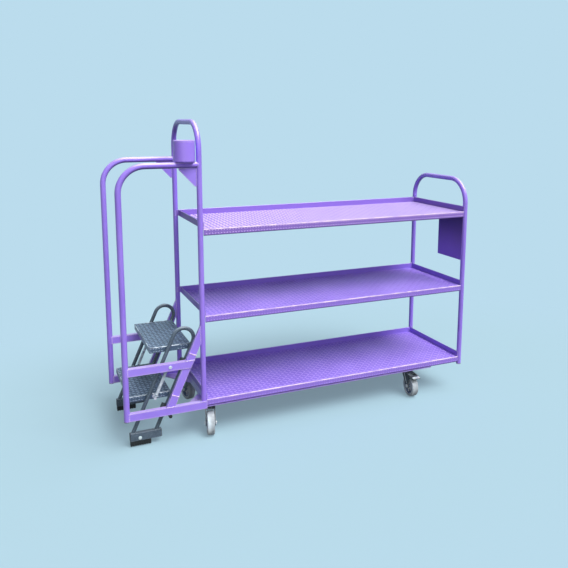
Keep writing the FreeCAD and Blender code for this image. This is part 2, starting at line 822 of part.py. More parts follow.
def guide_screw_bars():
    return [rod(guide_screw_d / 2, start, end) for z in guide_zs for start, end in guide_screw_axes(z)]


def step_guides():
    """Nylon blocks on the inner faces of the rails, each bored for a rear leg."""
    guides = []
    depth = leg_y + leg_d / 2 + guide_wall - rail_inner
    for z in guide_zs:
        body = Part.makeBox(guide_w, depth, guide_l, V(-guide_w / 2, rail_inner - leg_y, -guide_l / 2))
        bore = Part.makeCylinder(leg_d / 2 + running_gap, 2 * guide_l, V(0, 0, -guide_l))
        guide = leaning(body.cut(bore), rear_leg_x(z), leg_y, z).cut(guide_screw_bars())
        guides += [guide, mirrored(guide)]
    return Part.makeCompound(guides)


def guide_screws():
    screws = []
    head = guide_screw_d / 2
    for z in guide_zs:
        for start, end in guide_screw_axes(z):
            shank = rod(guide_screw_d / 2, start, end)
            cap = rod(guide_screw_d, start, start + V(0, head, 0))
            screw = shank.fuse(cap).removeSplitter()
            screws += [screw, mirrored(screw)]
    return Part.makeCompound(screws)


# Lift springs
spring_y = y_front + spring_inset


def anchor_place():
    """Axis of the spring's bolt in the mid rail."""
    return V(spring_x(mid_rail_z), spring_y, mid_rail_z)


def spring_bolt_place():
    """Axis of the spring's bolt on the lower tread."""
    z = lower_tread_z - spring_bolt_drop
    return V(spring_x(z), spring_y, z)


def anchor_bolts():
    """Bolts through the mid rails, long enough to carry the spring eyes."""
    place = anchor_place()
    bolt = through_bolt(V(place.x, y_front - rail_t / 2, place.z),
                        place + V(0, eye_t / 2 + free_gap, 0), spring_bolt_d)
    return Part.makeCompound([bolt, mirrored(bolt)])


def spring_bolts():
    """Bolts from the lower tread's edge out to the spring eyes."""
    place = spring_bolt_place()
    inner = leg_y + leg_d / 2 + tread_sheet
    bolt = through_bolt(place - V(0, eye_t / 2 + free_gap, 0), V(place.x, inner, place.z), spring_bolt_d)
    return Part.makeCompound([bolt, mirrored(bolt)])


def coil_frame():
    """Lower end of the coil, its direction and two directions across it."""
    across = V(cosine, 0, -sine)
    return spring_bolt_place() + up_leg * eye_stem, up_leg, across, V(0, 1, 0)


def coil_length():
    return (anchor_place() - spring_bolt_place()).Length - 2 * eye_stem


def coil_point(turn):
    """Point of the wire's axis after a number of turns."""
    start, along, across, side = coil_frame()
    angle = 2 * math.pi * turn
    radius = (spring_d - spring_wire) / 2
    return (start + along * (coil_length() * turn / spring_turns)
            + across * (radius * math.cos(angle)) + side * (radius * math.sin(angle)))


def coil_tangent(turn):
    start, along, across, side = coil_frame()
    angle = 2 * math.pi * turn
    turning = math.pi * (spring_d - spring_wire)
    rise = along * (coil_length() / spring_turns)
    return (across * (-turning * math.sin(angle)) + side * (turning * math.cos(angle)) + rise).normalize()


def arc_between(start, corner, end):
    """Arc that leaves start and reaches end along the two equal legs to a corner."""
    weight = math.cos((corner - start).getAngle(end - start))
    middle = (start + corner * (2 * weight) + end) * (1 / (2 + 2 * weight))
    return Part.Arc(start, middle, end).toShape()


def biarc(p0, t0, p1, t1):
    """Two arcs that join two points with given directions."""
    chord = p1 - p0
    total = t0 + t1
    a = 2 * (1 - t0.dot(t1))
    b = 2 * chord.dot(total)
    reach = (-b + math.sqrt(b * b + 4 * a * chord.dot(chord))) / (2 * a)
    corner0 = p0 + t0 * reach
    corner1 = p1 - t1 * reach
    joint = (corner0 + corner1) * 0.5
    return [arc_between(p0, corner0, joint), arc_between(joint, corner1, p1)]


def lift_spring():
    """Extension spring: one wire, straight for its own diameter at both ends."""
    half_turns = 2 * spring_turns
    first = coil_point(0)
    last = coil_point(spring_turns)
    edges = [Part.LineSegment(first - coil_tangent(0) * spring_wire, first).toShape()]
    for i in range(half_turns):
        now = i / 2
        after = now + 0.5
        edges += biarc(coil_point(now), coil_tangent(now), coil_point(after), coil_tangent(after))
    edges.append(Part.LineSegment(last, last + coil_tangent(spring_turns) * spring_wire).toShape())
    return sweep(Part.Wire(edges), spring_wire / 2)


def spring_eye(place, toward, turn, way):
    """Ring on a bolt, with a stem up to the coil and a tab that the wire's end meets."""
    ring = rod(eye_d / 2, place - V(0, eye_t / 2, 0), place + V(0, eye_t / 2, 0))
    collar = spring_wire
    stem = rod(eye_t / 2, place, place + toward * (eye_stem - 2 * spring_wire))
    disc_at = place + toward * (eye_stem - 2 * spring_wire - collar)
    disc = rod(spring_d / 2, disc_at, disc_at + toward * collar)
    onward = coil_tangent(turn) * (spring_wire * way)
    wire_end = coil_point(turn) + onward
    tab = rod(eye_tab_d / 2, wire_end, wire_end + onward)
    tab_middle = wire_end + onward * 0.5
    foot = rod(spring_wire / 2, tab_middle, tab_middle - toward * eye_tab_drop)
    hole = rod(spring_bolt_d / 2, place - V(0, eye_t, 0), place + V(0, eye_t, 0))
    return ring.fuse([stem, disc, tab, foot]).cut(hole).removeSplitter()


def upper_eyes():
    eye = spring_eye(anchor_place(), -up_leg, spring_turns, 1)
    return Part.makeCompound([eye, mirrored(eye)])


def lower_eyes():
    eye = spring_eye(spring_bolt_place(), up_leg, 0, -1)
    return Part.makeCompound([eye, mirrored(eye)])


def spring_self_gap():
    """Least gap between turns, measured on points of the wire's axis."""
    per_turn = 24
    here = [coil_point(i / per_turn) for i in range(per_turn)]
    there = [coil_point(1 + (i - per_turn / 2) / per_turn) for i in range(per_turn)]
    gaps = [(a - b).Length for i, a in enumerate(here) for j, b in enumerate(there) if j - i > 0]
    return min(gaps) - spring_wire


# Assembly
def pieces():
    """Every node's shape by name."""
    shapes = {
        "left_hoop": hoop(x_left, base_top, left_hoop_top),
        "right_hoop": hoop(x_right, base_z, right_hoop_top),
        "tool_pot": tool_pot(),
        "end_panel": end_panel(),
        "bottom_tray": tray(bottom_floor_z),
        "middle_tray": tray(bottom_floor_z + tray_pitch),
        "top_tray": tray(top_floor_z),
        "cross_members": cross_members(),
        "corner_gussets": corner_gussets(),
        "tube_caps": tube_caps(),
        "castor_pads": castor_pads(),
        "castor_top_plates": castor_top_plates(),
        "castor_kingpins": castor_kingpins(),
        "castor_bolts": castor_bolts(),
        "step_guides": step_guides(),
        "guide_screws": guide_screws(),
        "anchor_bolts": anchor_bolts(),
        "upper_spring_eyes": upper_eyes(),
        "upper_tread": tread(upper_tread_z),
        "lower_tread": lower_tread(),
        "foot_bolts": foot_bolts(),
        "stop_lugs": stop_lugs(),
        "stop_bolts": stop_bolts(),
        "spring_bolts": spring_bolts(),
        "lower_spring_eyes": lower_eyes(),
    }
    drilled = guide_screw_bars()
    grouped = {
        "handrail_gussets": handrail_gusset(),
        "mid_rails": mid_rail().cut(drilled),
        "upper_braces": upper_brace(),
        "lower_braces": lower_brace(),
        "chassis_rails": chassis_rail(),
        "foot_bars": foot_bar(),
    }
    for name, shape in grouped.items():
        shapes[name] = Part.makeCompound([shape, mirrored(shape)])
    paired = {
        "handrail": handrail(),
        "base_rail": base_rail().cut(drilled),
        "side_frame": side_frame(),
        "foot_pad": foot_pad(),
        "lift_spring": lift_spring(),
    }
    for end, x in castor_xs.items():
        braked = end == "right"
        castor = {
            f"castor_fork_{end}": castor_fork(x, braked),
            f"castor_axle_{end}": castor_axle(x),
            f"castor_hub_{end}": castor_hub(x),
            f"castor_tyre_{end}": castor_tyre(x),
        }
        if braked:
            castor["brake_pedal"] = brake_pedal(x)
        for shape in castor.values():
            shape.rotate(V(x, castor_y, 0), V(0, 0, 1), -castor_swings[end])
        paired.update(castor)
    for name, shape in paired.items():
        shapes[f"{name}_front"] = shape
        shapes[f"{name}_rear"] = mirrored(shape)
    return shapes


def main():
    os.makedirs("parts", exist_ok=True)
    shapes = pieces()
    for name, shape in shapes.items():
        shape.exportStep(f"parts/{name}.step")
    print(f"{len(shapes)} nodes, least gap between spring turns {spring_self_gap():.2f} mm")


main()
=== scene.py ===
"""Looks of the order picking trolley: paint, tread plate, welds, castor details and lift springs.

Sizes of the pieces are in millimetres in the trolley's own frame (+Z up, +X towards the far end,
-Y the front) and turn into metres where a mesh is made.
"""
import json
import math
import bmesh
import bpy
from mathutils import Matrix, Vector


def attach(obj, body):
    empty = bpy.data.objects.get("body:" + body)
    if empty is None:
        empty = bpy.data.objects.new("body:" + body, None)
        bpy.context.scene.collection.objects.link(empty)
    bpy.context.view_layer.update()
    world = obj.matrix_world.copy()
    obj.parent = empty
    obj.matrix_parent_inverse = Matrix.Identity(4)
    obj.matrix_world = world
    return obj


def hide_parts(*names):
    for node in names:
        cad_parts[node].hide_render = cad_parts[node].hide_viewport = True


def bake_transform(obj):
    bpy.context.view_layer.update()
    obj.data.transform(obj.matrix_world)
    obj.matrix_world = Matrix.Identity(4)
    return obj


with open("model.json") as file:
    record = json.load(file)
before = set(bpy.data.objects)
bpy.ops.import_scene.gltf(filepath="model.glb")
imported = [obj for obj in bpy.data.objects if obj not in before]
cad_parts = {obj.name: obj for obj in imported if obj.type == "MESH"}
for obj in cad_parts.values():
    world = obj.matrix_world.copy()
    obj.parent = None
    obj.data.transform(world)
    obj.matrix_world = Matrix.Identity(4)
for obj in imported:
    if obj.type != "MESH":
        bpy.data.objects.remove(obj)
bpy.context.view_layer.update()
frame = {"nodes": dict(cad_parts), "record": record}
MM = 0.001
X = Vector((1, 0, 0))
Y = Vector((0, 1, 0))
Z = Vector((0, 0, 1))
SIDES = (-1, 1)

# Welded frame
X_POST = -1010.5
X_LEFT = -613.5
X_RIGHT = 1011.5
Y_SIDE = 264.0
UPRIGHT_R = 14.0
HANDRAIL_R = 15.0
HANDRAIL_Z = 1432.0
WELD_SETBACK = 7.0
GUSSET_LENGTH = 88.0
GUSSET_HEIGHT = 92.0
GUSSET_HALF = 2.0
RAIL_HALF = 12.5
BASE_Z = 161.0
BASE_TOP = 201.0
MID_LOW = 395.0
MID_HIGH = 435.0
BRACE_HALF = 8.0
BRACE_LAP = 4.0
BRACE_OFFSET = 79.6
BRACE_WIDTH = 40.0
UPPER_LAP_Z = 466.0
LOWER_LAP_Z = 257.0
LEAN = math.radians(24.5)
POT_X = -685.5

# Weld beads
WELD_R = 2.4
SADDLE_WELD_R = 2.6
FINE_WELD_R = 2.2
EDGE_WELD_R = 1.9
POT_WELD_R = 1.8
POT_WELD_HALF = 34.0
POT_WELD_Y = 6.0
LAP_SEAM_R = 3.3
LAP_SEAM_INSET = 1.0
LAP_SEAM_SHARE = 0.55
FOOT_WELD_UP = 0.5
LEG_WELD_OUT = 0.9
WELD_PROUD = 0.6
WELD_START = 4.0
WELD_STOP = 2.0
WELD_SHIFT = 5.0
RING_CLEAR = 0.4
RING_STEPS = 28

# Trays and chassis
TRAY_X = (-599.5, 997.5)
TRAY_Y = (-273.0, 250.0)
TRAY_FLOORS = {"bottom": 208.0, "middle": 659.0, "top": 1110.0}
TRAY_LIP = 31.0
TRAY_SHEET = 2.0
HEM_R = 1.7
DRIP_R = 2.3
NOSE_R = 3.2
NOSE_INSET = 2.2
CHASSIS_END = 803.5
CHASSIS_Y = 256.5
CHASSIS_Z = 186.0
CHASSIS_HALF = (12.5, 20.0)

# Step unit
LEG_Y = 223.3
LEG_R = 10.0
LEG_GAP = 48.0
LEG_SPREAD = 108.0
UPPER_TREAD_Z = 507.0
LOWER_TREAD_Z = 263.6
TREAD_DEPTH = 213.0
TREAD_TAIL = 4.0
TREAD_SIDE = 213.3
TREAD_LIP = 28.0
TREAD_NOSE_R = 2.0
TREAD_NOSE_INSET = 1.4
TREAD_NOSE_DROP = 1.2
TREAD_NOSE_END = 1.0
TREAD_NOSE_CORNER = 4.0
FOOT_LOW = 34.0
FOOT_HIGH = 74.0
FOOT_HALF = 12.5
FOOT_FRONT = 15.0
FOOT_BACK = 24.0
BOLT_BACK = 48.0
BOLT_RISE = 13.0

# Foot pads: the end's run and cut, and the flank's insets and rises, are pairs
PAD_LENGTH = 104.0
PAD_LOW = 6.0
PAD_RIBS = 9
PAD_RIB_SHARE = 0.62
PAD_GROOVE = 1.5
PAD_SLOPE = 1.0
PAD_END = (1.6, 1.2)
PAD_FLANK = ((3.0, 0.0), (0.6, 3.0), (0.0, 7.0))

# Washers: bore, rim and thickness
BOLT_WASHER = (4.0, 9.2, 1.6)
AXLE_WASHER = (5.0, 11.5, 1.8)
WASHER_SUNK = 0.2
WASHER_SOFT = 0.35

# Plugs: distance out and inset of each outline
PLUG_STEPS = ((-0.4, 0.3), (1.3, 0.3), (2.2, 1.3))
PLUG_CORNER = 3.0

# Lift springs
SPRING_Y = 240.0
SPRING_AHEAD = 84.0
SPRING_D = 17.0
SPRING_WIRE = 2.4
SPRING_TURNS = 45
SPRING_STEPS = 16
SPRING_STEM = 16.0
ANCHOR_Z = 415.0
SPRING_BOLT_Z = 249.6

# Castors
CASTOR_X = {"left": -565.5, "right": 683.5}
CASTOR_Y = 206.0
CASTOR_SWING = {"left": 13.0, "right": 5.0}
CASTOR_TRAIL = 38.0
AXLE_Z = 62.5
FORK_FACE = 26.3
FORK_TOP = 134.0
FORK_RIB = ((2.0, FORK_TOP - 4.0), (12.0, 112.0), (26.0, 88.0), (33.0, 78.0))
FORK_RIB_R = 1.9
FORK_RIB_GAP = 4.0
TYRE_FACE = 19.0
TYRE_RINGS = (50.0, 54.5)
TYRE_RING_R = 0.9
TYRE_STEPS = 56
HUB_WELL_R = 38.5
HUB_BOSS_R = 14.0
HUB_WEB = 5.0
HUB_FOOT = HUB_WEB - 0.5
HUB_RIBS = 6
HUB_RIB_TURN = 0.3
HUB_RIB_TAPER = 0.7
PEDAL_OUT = 30.0
PEDAL_Z = 129.0
PEDAL_TOP = 8.0
PEDAL_REACH = 40.0
PEDAL_FALL = 5.0
PEDAL_TIP_HALF = 23.0
PEDAL_RIBS = 4
PEDAL_RIB_FIRST = 4.0
PEDAL_RIB_PITCH = 4.5
PEDAL_RIB_R = 1.3
PEDAL_RIB_INSET = 2.0

# Hub ribs: reach, height and half thickness; ring round the boss: height and reach
HUB_RIB_STOPS = ((HUB_BOSS_R - 1, 17.5, 2.0), (HUB_WELL_R - 9, 12.5, 1.6), (HUB_WELL_R + 1, 13.5, 1.6))
HUB_CAP = ((HUB_FOOT, HUB_BOSS_R - 1), (HUB_FOOT, HUB_BOSS_R + 5),
           (HUB_WEB + 3, HUB_BOSS_R + 4), (HUB_WEB + 5, HUB_BOSS_R - 1))

# Camera: place in metres, angles in radians, lens in millimetres
CAMERA_PLACE = (-1.4629, -3.3768, 1.6534)
CAMERA_HEADING = 0.402
CAMERA_PITCH = 0.160
CAMERA_LENS = 41.09
CAMERA_SHIFT = (-0.0062, -0.106)


def leg_x(z, ahead=0.0):
    """Rear leg's axis at a height, or a place ahead of it."""
    return X_LEFT - LEG_GAP + (z - UPPER_TREAD_Z) * math.tan(LEAN) - ahead


def front_leg_x(z):
    return leg_x(z, LEG_SPREAD / math.cos(LEAN))


def brace_x(z):
    return X_LEFT - BRACE_OFFSET + (z - ANCHOR_Z) * math.tan(LEAN)


def side_name(side):
    return "front" if side < 0 else "rear"


# Shader wiring
class Wire:
    """One socket of a finish. Sums and products of it add Math nodes."""

    def __init__(self, finish, socket):
        self.finish = finish
        self.socket = socket

    def math(self, operation, first, second):
        return self.finish.node("ShaderNodeMath", {"operation": operation}, {0: first, 1: second})

    def __add__(self, other):
        return self.math("ADD", self, other)

    def __radd__(self, other):
        return self.math("ADD", other, self)

    def __sub__(self, other):
        return self.math("SUBTRACT", self, other)

    def __rsub__(self, other):
        return self.math("SUBTRACT", other, self)

    def __mul__(self, other):
        return self.math("MULTIPLY", self, other)

    def __rmul__(self, other):
        return self.math("MULTIPLY", other, self)

    def __pow__(self, other):
        return self.math("POWER", self, other)

    def between(self, low, high):
        """0 below low, 1 above high, smooth between them."""
        return self.finish.node("ShaderNodeMapRange", {"interpolation_type": "SMOOTHSTEP"},
                                {"Value": self, "From Min": low, "From Max": high})


class Finish:
    """The nodes of a material or of the world."""

    def __init__(self, owner):
        self.owner = owner
        owner.use_nodes = True
        self.tree = owner.node_tree
        self.tree.nodes.clear()

    def node(self, kind, settings=None, sockets=None, out=0):
        """Any node: its settings first, then the values or links of its sockets."""
        made = self.tree.nodes.new(kind)
        for name, value in (settings or {}).items():
            setattr(made, name, value)
        for key, value in (sockets or {}).items():
            if isinstance(value, Wire):
                self.tree.links.new(value.socket, made.inputs[key])
            else:
                made.inputs[key].default_value = value
        return Wire(self, made.outputs[out]) if made.outputs else None

    def place(self, out="Object"):
        return self.node("ShaderNodeTexCoord", out=out)

    def noise(self, scale, detail=2.0, stretch=None):
        """Cloudy value from 0 to 1, with its scale in turns a metre."""
        where = self.place()
        if stretch:
            where = self.node("ShaderNodeVectorMath", {"operation": "MULTIPLY"}, {0: where, 1: stretch})
        return self.node("ShaderNodeTexNoise", None, {"Vector": where, "Scale": scale, "Detail": detail})

    def cells(self, scale, feature="F1", out="Distance"):
        return self.node("ShaderNodeTexVoronoi", {"feature": feature},
                         {"Vector": self.place(), "Scale": scale}, out)

    def rounded(self, radius):
        """Normal of the surface with its edges rounded over."""
        return self.node("ShaderNodeBevel", {"samples": 4}, {"Radius": radius})

    def edge(self, radius):
        """0 on flats, rising where the surface turns within a radius."""
        true = self.node("ShaderNodeNewGeometry", out="Normal")
        return 1 - self.node("ShaderNodeVectorMath", {"operation": "DOT_PRODUCT"},
                             {0: self.rounded(radius), 1: true}, "Value")

    def upward(self, low, high):
        """1 on faces that look up, 0 on walls."""
        normal = self.node("ShaderNodeNewGeometry", out="Normal")
        return self.node("ShaderNodeSeparateXYZ", None, {0: normal}, "Z").between(low, high)

    def facing(self, toward, low, high):
        """1 on faces that look along a direction, 0 on those well away from it."""
        normal = self.node("ShaderNodeNewGeometry", out="Normal")
        return self.node("ShaderNodeVectorMath", {"operation": "DOT_PRODUCT"},
                         {0: normal, 1: toward}, "Value").between(low, high)

    def mix(self, share, first, second):
        """Colour between two colours."""
        return self.node("ShaderNodeMix", {"data_type": "RGBA"}, {0: share, 6: first, 7: second}, 2)

    def bump(self, height, distance, strength, radius=None):
        """Rough surface, with its edges rounded over where a radius is given."""
        sockets = {"Strength": strength, "Distance": distance, "Height": height}
        if radius:
            sockets["Normal"] = self.rounded(radius)
        return self.node("ShaderNodeBump", None, sockets)

    def shown(self):
        """1 for what the camera sees, straight or in gloss or glass, 0 for light that bounces."""
        rays = [self.node("ShaderNodeLightPath", out=f"Is {kind} Ray")
                for kind in ("Camera", "Glossy", "Transmission")]
        return (rays[0] + rays[1] + rays[2]).between(0.0, 1.0)

    def end(self, shader, output="ShaderNodeOutputMaterial"):
        self.node(output, None, {"Surface": shader})
        return self.owner

    def coated(self, **sockets):
        """Closes the finish with a Principled shader. Socket names are written with _ for spaces."""
        named = {key.replace("_", " "): value for key, value in sockets.items()}
        return self.end(self.node("ShaderNodeBsdfPrincipled", None, named))


def finish(name):
    return Finish(bpy.data.materials.new(name))


def shade(red, green, blue):
    """Linear colour from the 0 to 255 values that a screen shows."""
    def straight(value):
        value /= 255
        return value / 12.92 if value <= 0.04045 else ((value + 0.055) / 1.055) ** 2.4
    return straight(red), straight(green), straight(blue), 1.0


# Finishes, with their lengths in metres
# Direction towards the front lamp: tube faces turned this way get a painted highlight.
HIGHLIGHT_TOWARD = (0.2, -0.55, 0.81)
HIGHLIGHT_TONE = shade(252, 236, 252)
# Pale tone for top faces: partly dust, partly painted sheen.
DUST_AND_SHEEN_TONE = shade(244, 222, 246)
# Painted shade for the undersides of tubes.
UNDERSIDE_SHADE_TONE = shade(52, 36, 104)
# Pale tone for paint edges: partly wear, partly painted highlight.
EDGE_WEAR_AND_HIGHLIGHT_TONE = shade(246, 226, 250)
SCUFF_TONE = shade(200, 172, 246)
BARE_TONE = shade(214, 222, 230)
# Pale tone for the step unit's top faces: partly dust, partly painted highlight.
DUST_AND_HIGHLIGHT_TONE = shade(196, 212, 226)


def purple_enamel(name, dark, light, dust_and_sheen=0.0, gloss=0.0, shine=0.5, pale_edge_radius=0.008,
                  painted_upright_light=None, painted_top_shade=None, painted_highlight_and_shade=0.0):
    """Paint: cloudy, with orange peel and scuffs, edges pale from wear and painted highlight, and top
    faces pale from dust and painted sheen.

    Upright faces may get a tone of their own, painted light for how light falls on them, and the upper
    part a darker tone, painted shade. Tubes may get painted shade on their undersides and a painted
    highlight where they look up and to the front.
    """
    f = finish(name)
    cloud = f.noise(3.0, 3.0)
    fine = f.noise(45.0, 4.0)
    body = f.mix(cloud.between(0.3, 0.7), dark, light)
    top = f.upward(0.35, 0.9)
    # Painted light: upright faces get a paler, greyer tone for how light falls on them.
    if painted_upright_light:
        body = f.mix(top, painted_upright_light, body)
    # Painted shade: darker towards the top of the piece, where the tray above shades it.
    if painted_top_shade:
        height = f.node("ShaderNodeSeparateXYZ", None, {0: f.place("Generated")}, "Z")
        body = f.mix(height.between(0.0, 1.0), body, painted_top_shade)
    # Edges painted pale: partly wear, partly painted highlight.
    rubbed = f.edge(pale_edge_radius).between(0.03, 0.25) * (0.35 + 0.6 * fine)
    worn = f.mix(rubbed, body, EDGE_WEAR_AND_HIGHLIGHT_TONE)
    scuffs = f.noise(30.0, 6.0, (1.0, 0.2, 1.0)).between(0.62, 0.72) * 0.25
    scuffed = f.mix(scuffs * gloss, worn, SCUFF_TONE)
    # Top faces paler: dust, and painted sheen where light glances off them.
    tone = f.mix(top * dust_and_sheen * (0.9 + fine), scuffed, DUST_AND_SHEEN_TONE)
    # Painted highlight where tubes look up and to the front, and painted shade on their undersides.
    if painted_highlight_and_shade:
        highlighted = f.mix(f.facing(HIGHLIGHT_TOWARD, 0.8, 0.98) * painted_highlight_and_shade, tone, HIGHLIGHT_TONE)
        tone = f.mix((1 - f.upward(-0.8, -0.1)) * painted_highlight_and_shade, highlighted, UNDERSIDE_SHADE_TONE)
    rough = 0.42 - 0.2 * gloss + 0.12 * fine + 0.2 * scuffs
    peel = f.noise(420.0, 2.0)
    return f.coated(Base_Color=tone, Roughness=rough, Coat_Weight=gloss, Coat_Roughness=0.12,
                    Specular_IOR_Level=shine, Normal=f.bump(peel, 0.0002, 0.4, 0.0015))


def wear_and_highlight_enamel():
    """Pale purple paint along an edge: painted highlight, and in places wear where things slide over it."""
    f = finish("wear_and_highlight_enamel")
    fine = f.noise(90.0, 5.0, (0.3, 1.0, 1.0))
    tone = f.mix(fine.between(0.35, 0.62), shade(206, 176, 240), shade(252, 232, 246))
    return f.coated(Base_Color=tone, Roughness=0.3 + 0.2 * fine, Normal=f.bump(fine, 0.0003, 0.5))


def slate_hammer(name, dark, light, fleck, dust_and_sheen=0.0):
    """Hammer-finish paint in slate grey, pitted, with bright rubbed edges; top faces paler from dust and
    painted highlight.
    """
    f = finish(name)
    cloud = f.noise(9.0, 4.0)
    pits = f.cells(260.0, "SMOOTH_F1")
    body = f.mix(cloud.between(0.3, 0.7), dark, light)
    flecked = f.mix(pits.between(0.35, 0.8) * 0.5, body, fleck)
    rubbed = f.edge(0.0026).between(0.03, 0.28) * (0.35 + 0.5 * cloud)
    worn = f.mix(rubbed, flecked, BARE_TONE)
    # Top faces paler: dust, and painted highlight.
    dust_and_highlight = f.mix(f.upward(0.45, 0.95) * dust_and_sheen, worn, DUST_AND_HIGHLIGHT_TONE)
    return f.coated(Base_Color=dust_and_highlight, Metallic=0.1 + 0.2 * rubbed, Roughness=0.34 + 0.22 * cloud,
                    Coat_Weight=0.3, Coat_Roughness=0.2, Normal=f.bump(pits, 0.0006, 0.6, 0.0012))


def rubbed_slate():
    """Slate paint worn to bright metal along an edge, in patches."""
    f = finish("rubbed_slate")
    fine = f.noise(26.0, 5.0, (1.0, 0.4, 1.0))
    bare = fine.between(0.42, 0.6)
    tone = f.mix(bare, shade(84, 96, 110), shade(226, 234, 240))
    return f.coated(Base_Color=tone, Metallic=0.1 + 0.4 * bare, Roughness=0.3 + 0.25 * fine,
                    Normal=f.bump(fine, 0.0003, 0.5))


def bright_zinc():
    """Zinc plate with a faint spangle and grey grime."""
    f = finish("bright_zinc")
    cloud = f.noise(28.0, 4.0)
    spangle = f.cells(120.0, "F1", "Color")
    tone = f.mix(cloud.between(0.3, 0.7), shade(196, 206, 215), shade(236, 242, 247))
    grained = f.mix(0.12, tone, spangle)
    grime = f.noise(14.0, 6.0).between(0.56, 0.74)
    dirty = f.mix(grime * 0.5, grained, shade(92, 92, 90))
    rough = 0.3 + 0.22 * cloud + 0.2 * grime
    return f.coated(Base_Color=dirty, Metallic=0.4 - 0.2 * grime, Roughness=rough,
                    Normal=f.bump(f.noise(300.0, 3.0), 0.0002, 0.4, 0.0008))


def shaded_fork_steel():
    """Pressed steel, plated dull, its body painted dark as painted shade and its edges painted near white
    as painted highlight.
    """
    f = finish("shaded_fork_steel")
    cloud = f.noise(34.0, 5.0)
    # Painted shade: the body is painted dark.
    tone = f.mix(cloud.between(0.3, 0.7), shade(40, 44, 50), shade(88, 94, 102))
    rubbed = f.edge(0.004).between(0.03, 0.25) * (0.4 + 0.6 * cloud)
    # Painted highlight: edges painted near white.
    worn = f.mix(rubbed, tone, shade(232, 236, 240))
    return f.coated(Base_Color=worn, Metallic=0.35, Roughness=0.3 + 0.2 * cloud,
                    Normal=f.bump(f.noise(300.0, 3.0), 0.0002, 0.4, 0.0008))


def spring_steel():
    """Plated drawn wire, lightly oiled."""
    f = finish("spring_steel")
    cloud = f.noise(40.0, 4.0)
    tone = f.mix(cloud.between(0.3, 0.7), shade(200, 210, 218), shade(236, 242, 247))
    drawn = f.noise(600.0, 2.0, (1.0, 1.0, 0.1))
    return f.coated(Base_Color=tone, Metallic=0.25 + 0.2 * cloud, Roughness=0.28 + 0.18 * cloud,
                    Normal=f.bump(drawn, 0.0001, 0.4))


def pale_tyre():
    """Pale rubber, dirty round its running face."""
    f = finish("pale_tyre")
    where = f.place("Generated")
    height = f.node("ShaderNodeSeparateXYZ", None, {0: where}, "Z") - 0.5
    depth = f.node("ShaderNodeSeparateXYZ", None, {0: where}, "Y") - 0.5
    reach = (height * height + depth * depth) ** 0.5
    cloud = f.noise(24.0, 5.0)
    clean = f.mix(cloud.between(0.3, 0.7), shade(212, 229, 241), shade(236, 247, 254))
    dirt = reach.between(0.46, 0.497) * (0.3 + 0.6 * f.noise(60.0, 6.0))
    dirty = f.mix(dirt, clean, shade(118, 122, 128))
    return f.coated(Base_Color=dirty, Roughness=0.5 + 0.3 * cloud,
                    Normal=f.bump(f.noise(350.0, 3.0), 0.0003, 0.5))


def hub_plastic(name, dark, light):
    """Moulded blue-grey plastic, grimy in patches."""
    f = finish(name)
    cloud = f.noise(20.0, 4.0)
    tone = f.mix(cloud.between(0.3, 0.7), dark, light)
    grime = f.noise(50.0, 5.0).between(0.55, 0.75)
    dirty = f.mix(grime * 0.4, tone, shade(70, 70, 70))
    return f.coated(Base_Color=dirty, Roughness=0.42 + 0.2 * cloud,
                    Normal=f.bump(f.noise(500.0, 2.0), 0.0002, 0.4, 0.001))


def black_rubber():
    """Black rubber with a grey bloom."""
    f = finish("black_rubber")
    cloud = f.noise(30.0, 5.0)
    tone = f.mix(cloud.between(0.35, 0.75), shade(16, 17, 19), shade(38, 40, 43))
    return f.coated(Base_Color=tone, Roughness=0.62 + 0.2 * cloud,
                    Normal=f.bump(f.noise(420.0, 3.0), 0.0004, 0.6, 0.001))


def black_nylon():
    """Moulded nylon, slightly shiny."""
    f = finish("black_nylon")
    cloud = f.noise(25.0, 4.0)
    tone = f.mix(cloud.between(0.3, 0.7), shade(20, 21, 23), shade(42, 43, 46))
    return f.coated(Base_Color=tone, Roughness=0.36 + 0.2 * cloud,
                    Normal=f.bump(f.noise(500.0, 2.0), 0.0002, 0.4, 0.001))


FINISHES = {
    "purple_paint": purple_enamel("purple_enamel", shade(157, 126, 244), shade(169, 140, 252),
                                  dust_and_sheen=0.25, gloss=0.5),
    "step_paint": slate_hammer("slate_hammer", shade(56, 67, 79), shade(82, 95, 109),
                               shade(122, 137, 152), dust_and_sheen=0.5),
    "zinc": bright_zinc(),
    "spring_steel": spring_steel(),
    "tyre_rubber": pale_tyre(),
    # Hub painted darker than its ribs: painted shade in the hub's wells.
    "hub_plastic": hub_plastic("hub_plastic", shade(112, 132, 166), shade(146, 166, 196)),
    "pad_rubber": black_rubber(),
    "black_nylon": black_nylon(),
}
# Tube paint: painted highlight on the upper front, painted shade underneath, top faces paler from dust and
# painted sheen.
TUBE_PAINT = purple_enamel("tube_enamel", shade(154, 122, 239), shade(166, 136, 248),
                           dust_and_sheen=0.16, gloss=0.35, shine=0.35, painted_highlight_and_shade=0.6)
# The pot is painted a paler purple than the frame: painted light on its shaded side.
POT_LIGHTENED_PAINT = purple_enamel("pot_enamel", shade(167, 134, 252), shade(175, 145, 255),
                          dust_and_sheen=0.28, gloss=0.3, shine=0.4)
# Tray paints: upright faces paler and greyer than the floors, a painted light.
TRAY_PAINT = purple_enamel("tray_enamel", shade(127, 95, 214), shade(144, 112, 231),
                           dust_and_sheen=0.04, gloss=0.1, shine=0.2, pale_edge_radius=0.003, painted_upright_light=shade(152, 125, 226))
# Top tray: plate painted darker than the lower trays' (painted shade between the lugs), lugs much paler
# (painted sheen).
TOP_TRAY_SHADED_PAINT = purple_enamel("top_tray_enamel", shade(118, 85, 205), shade(132, 98, 219),
                               dust_and_sheen=0.06, gloss=0.1, shine=0.2, pale_edge_radius=0.003, painted_upright_light=shade(147, 118, 209))
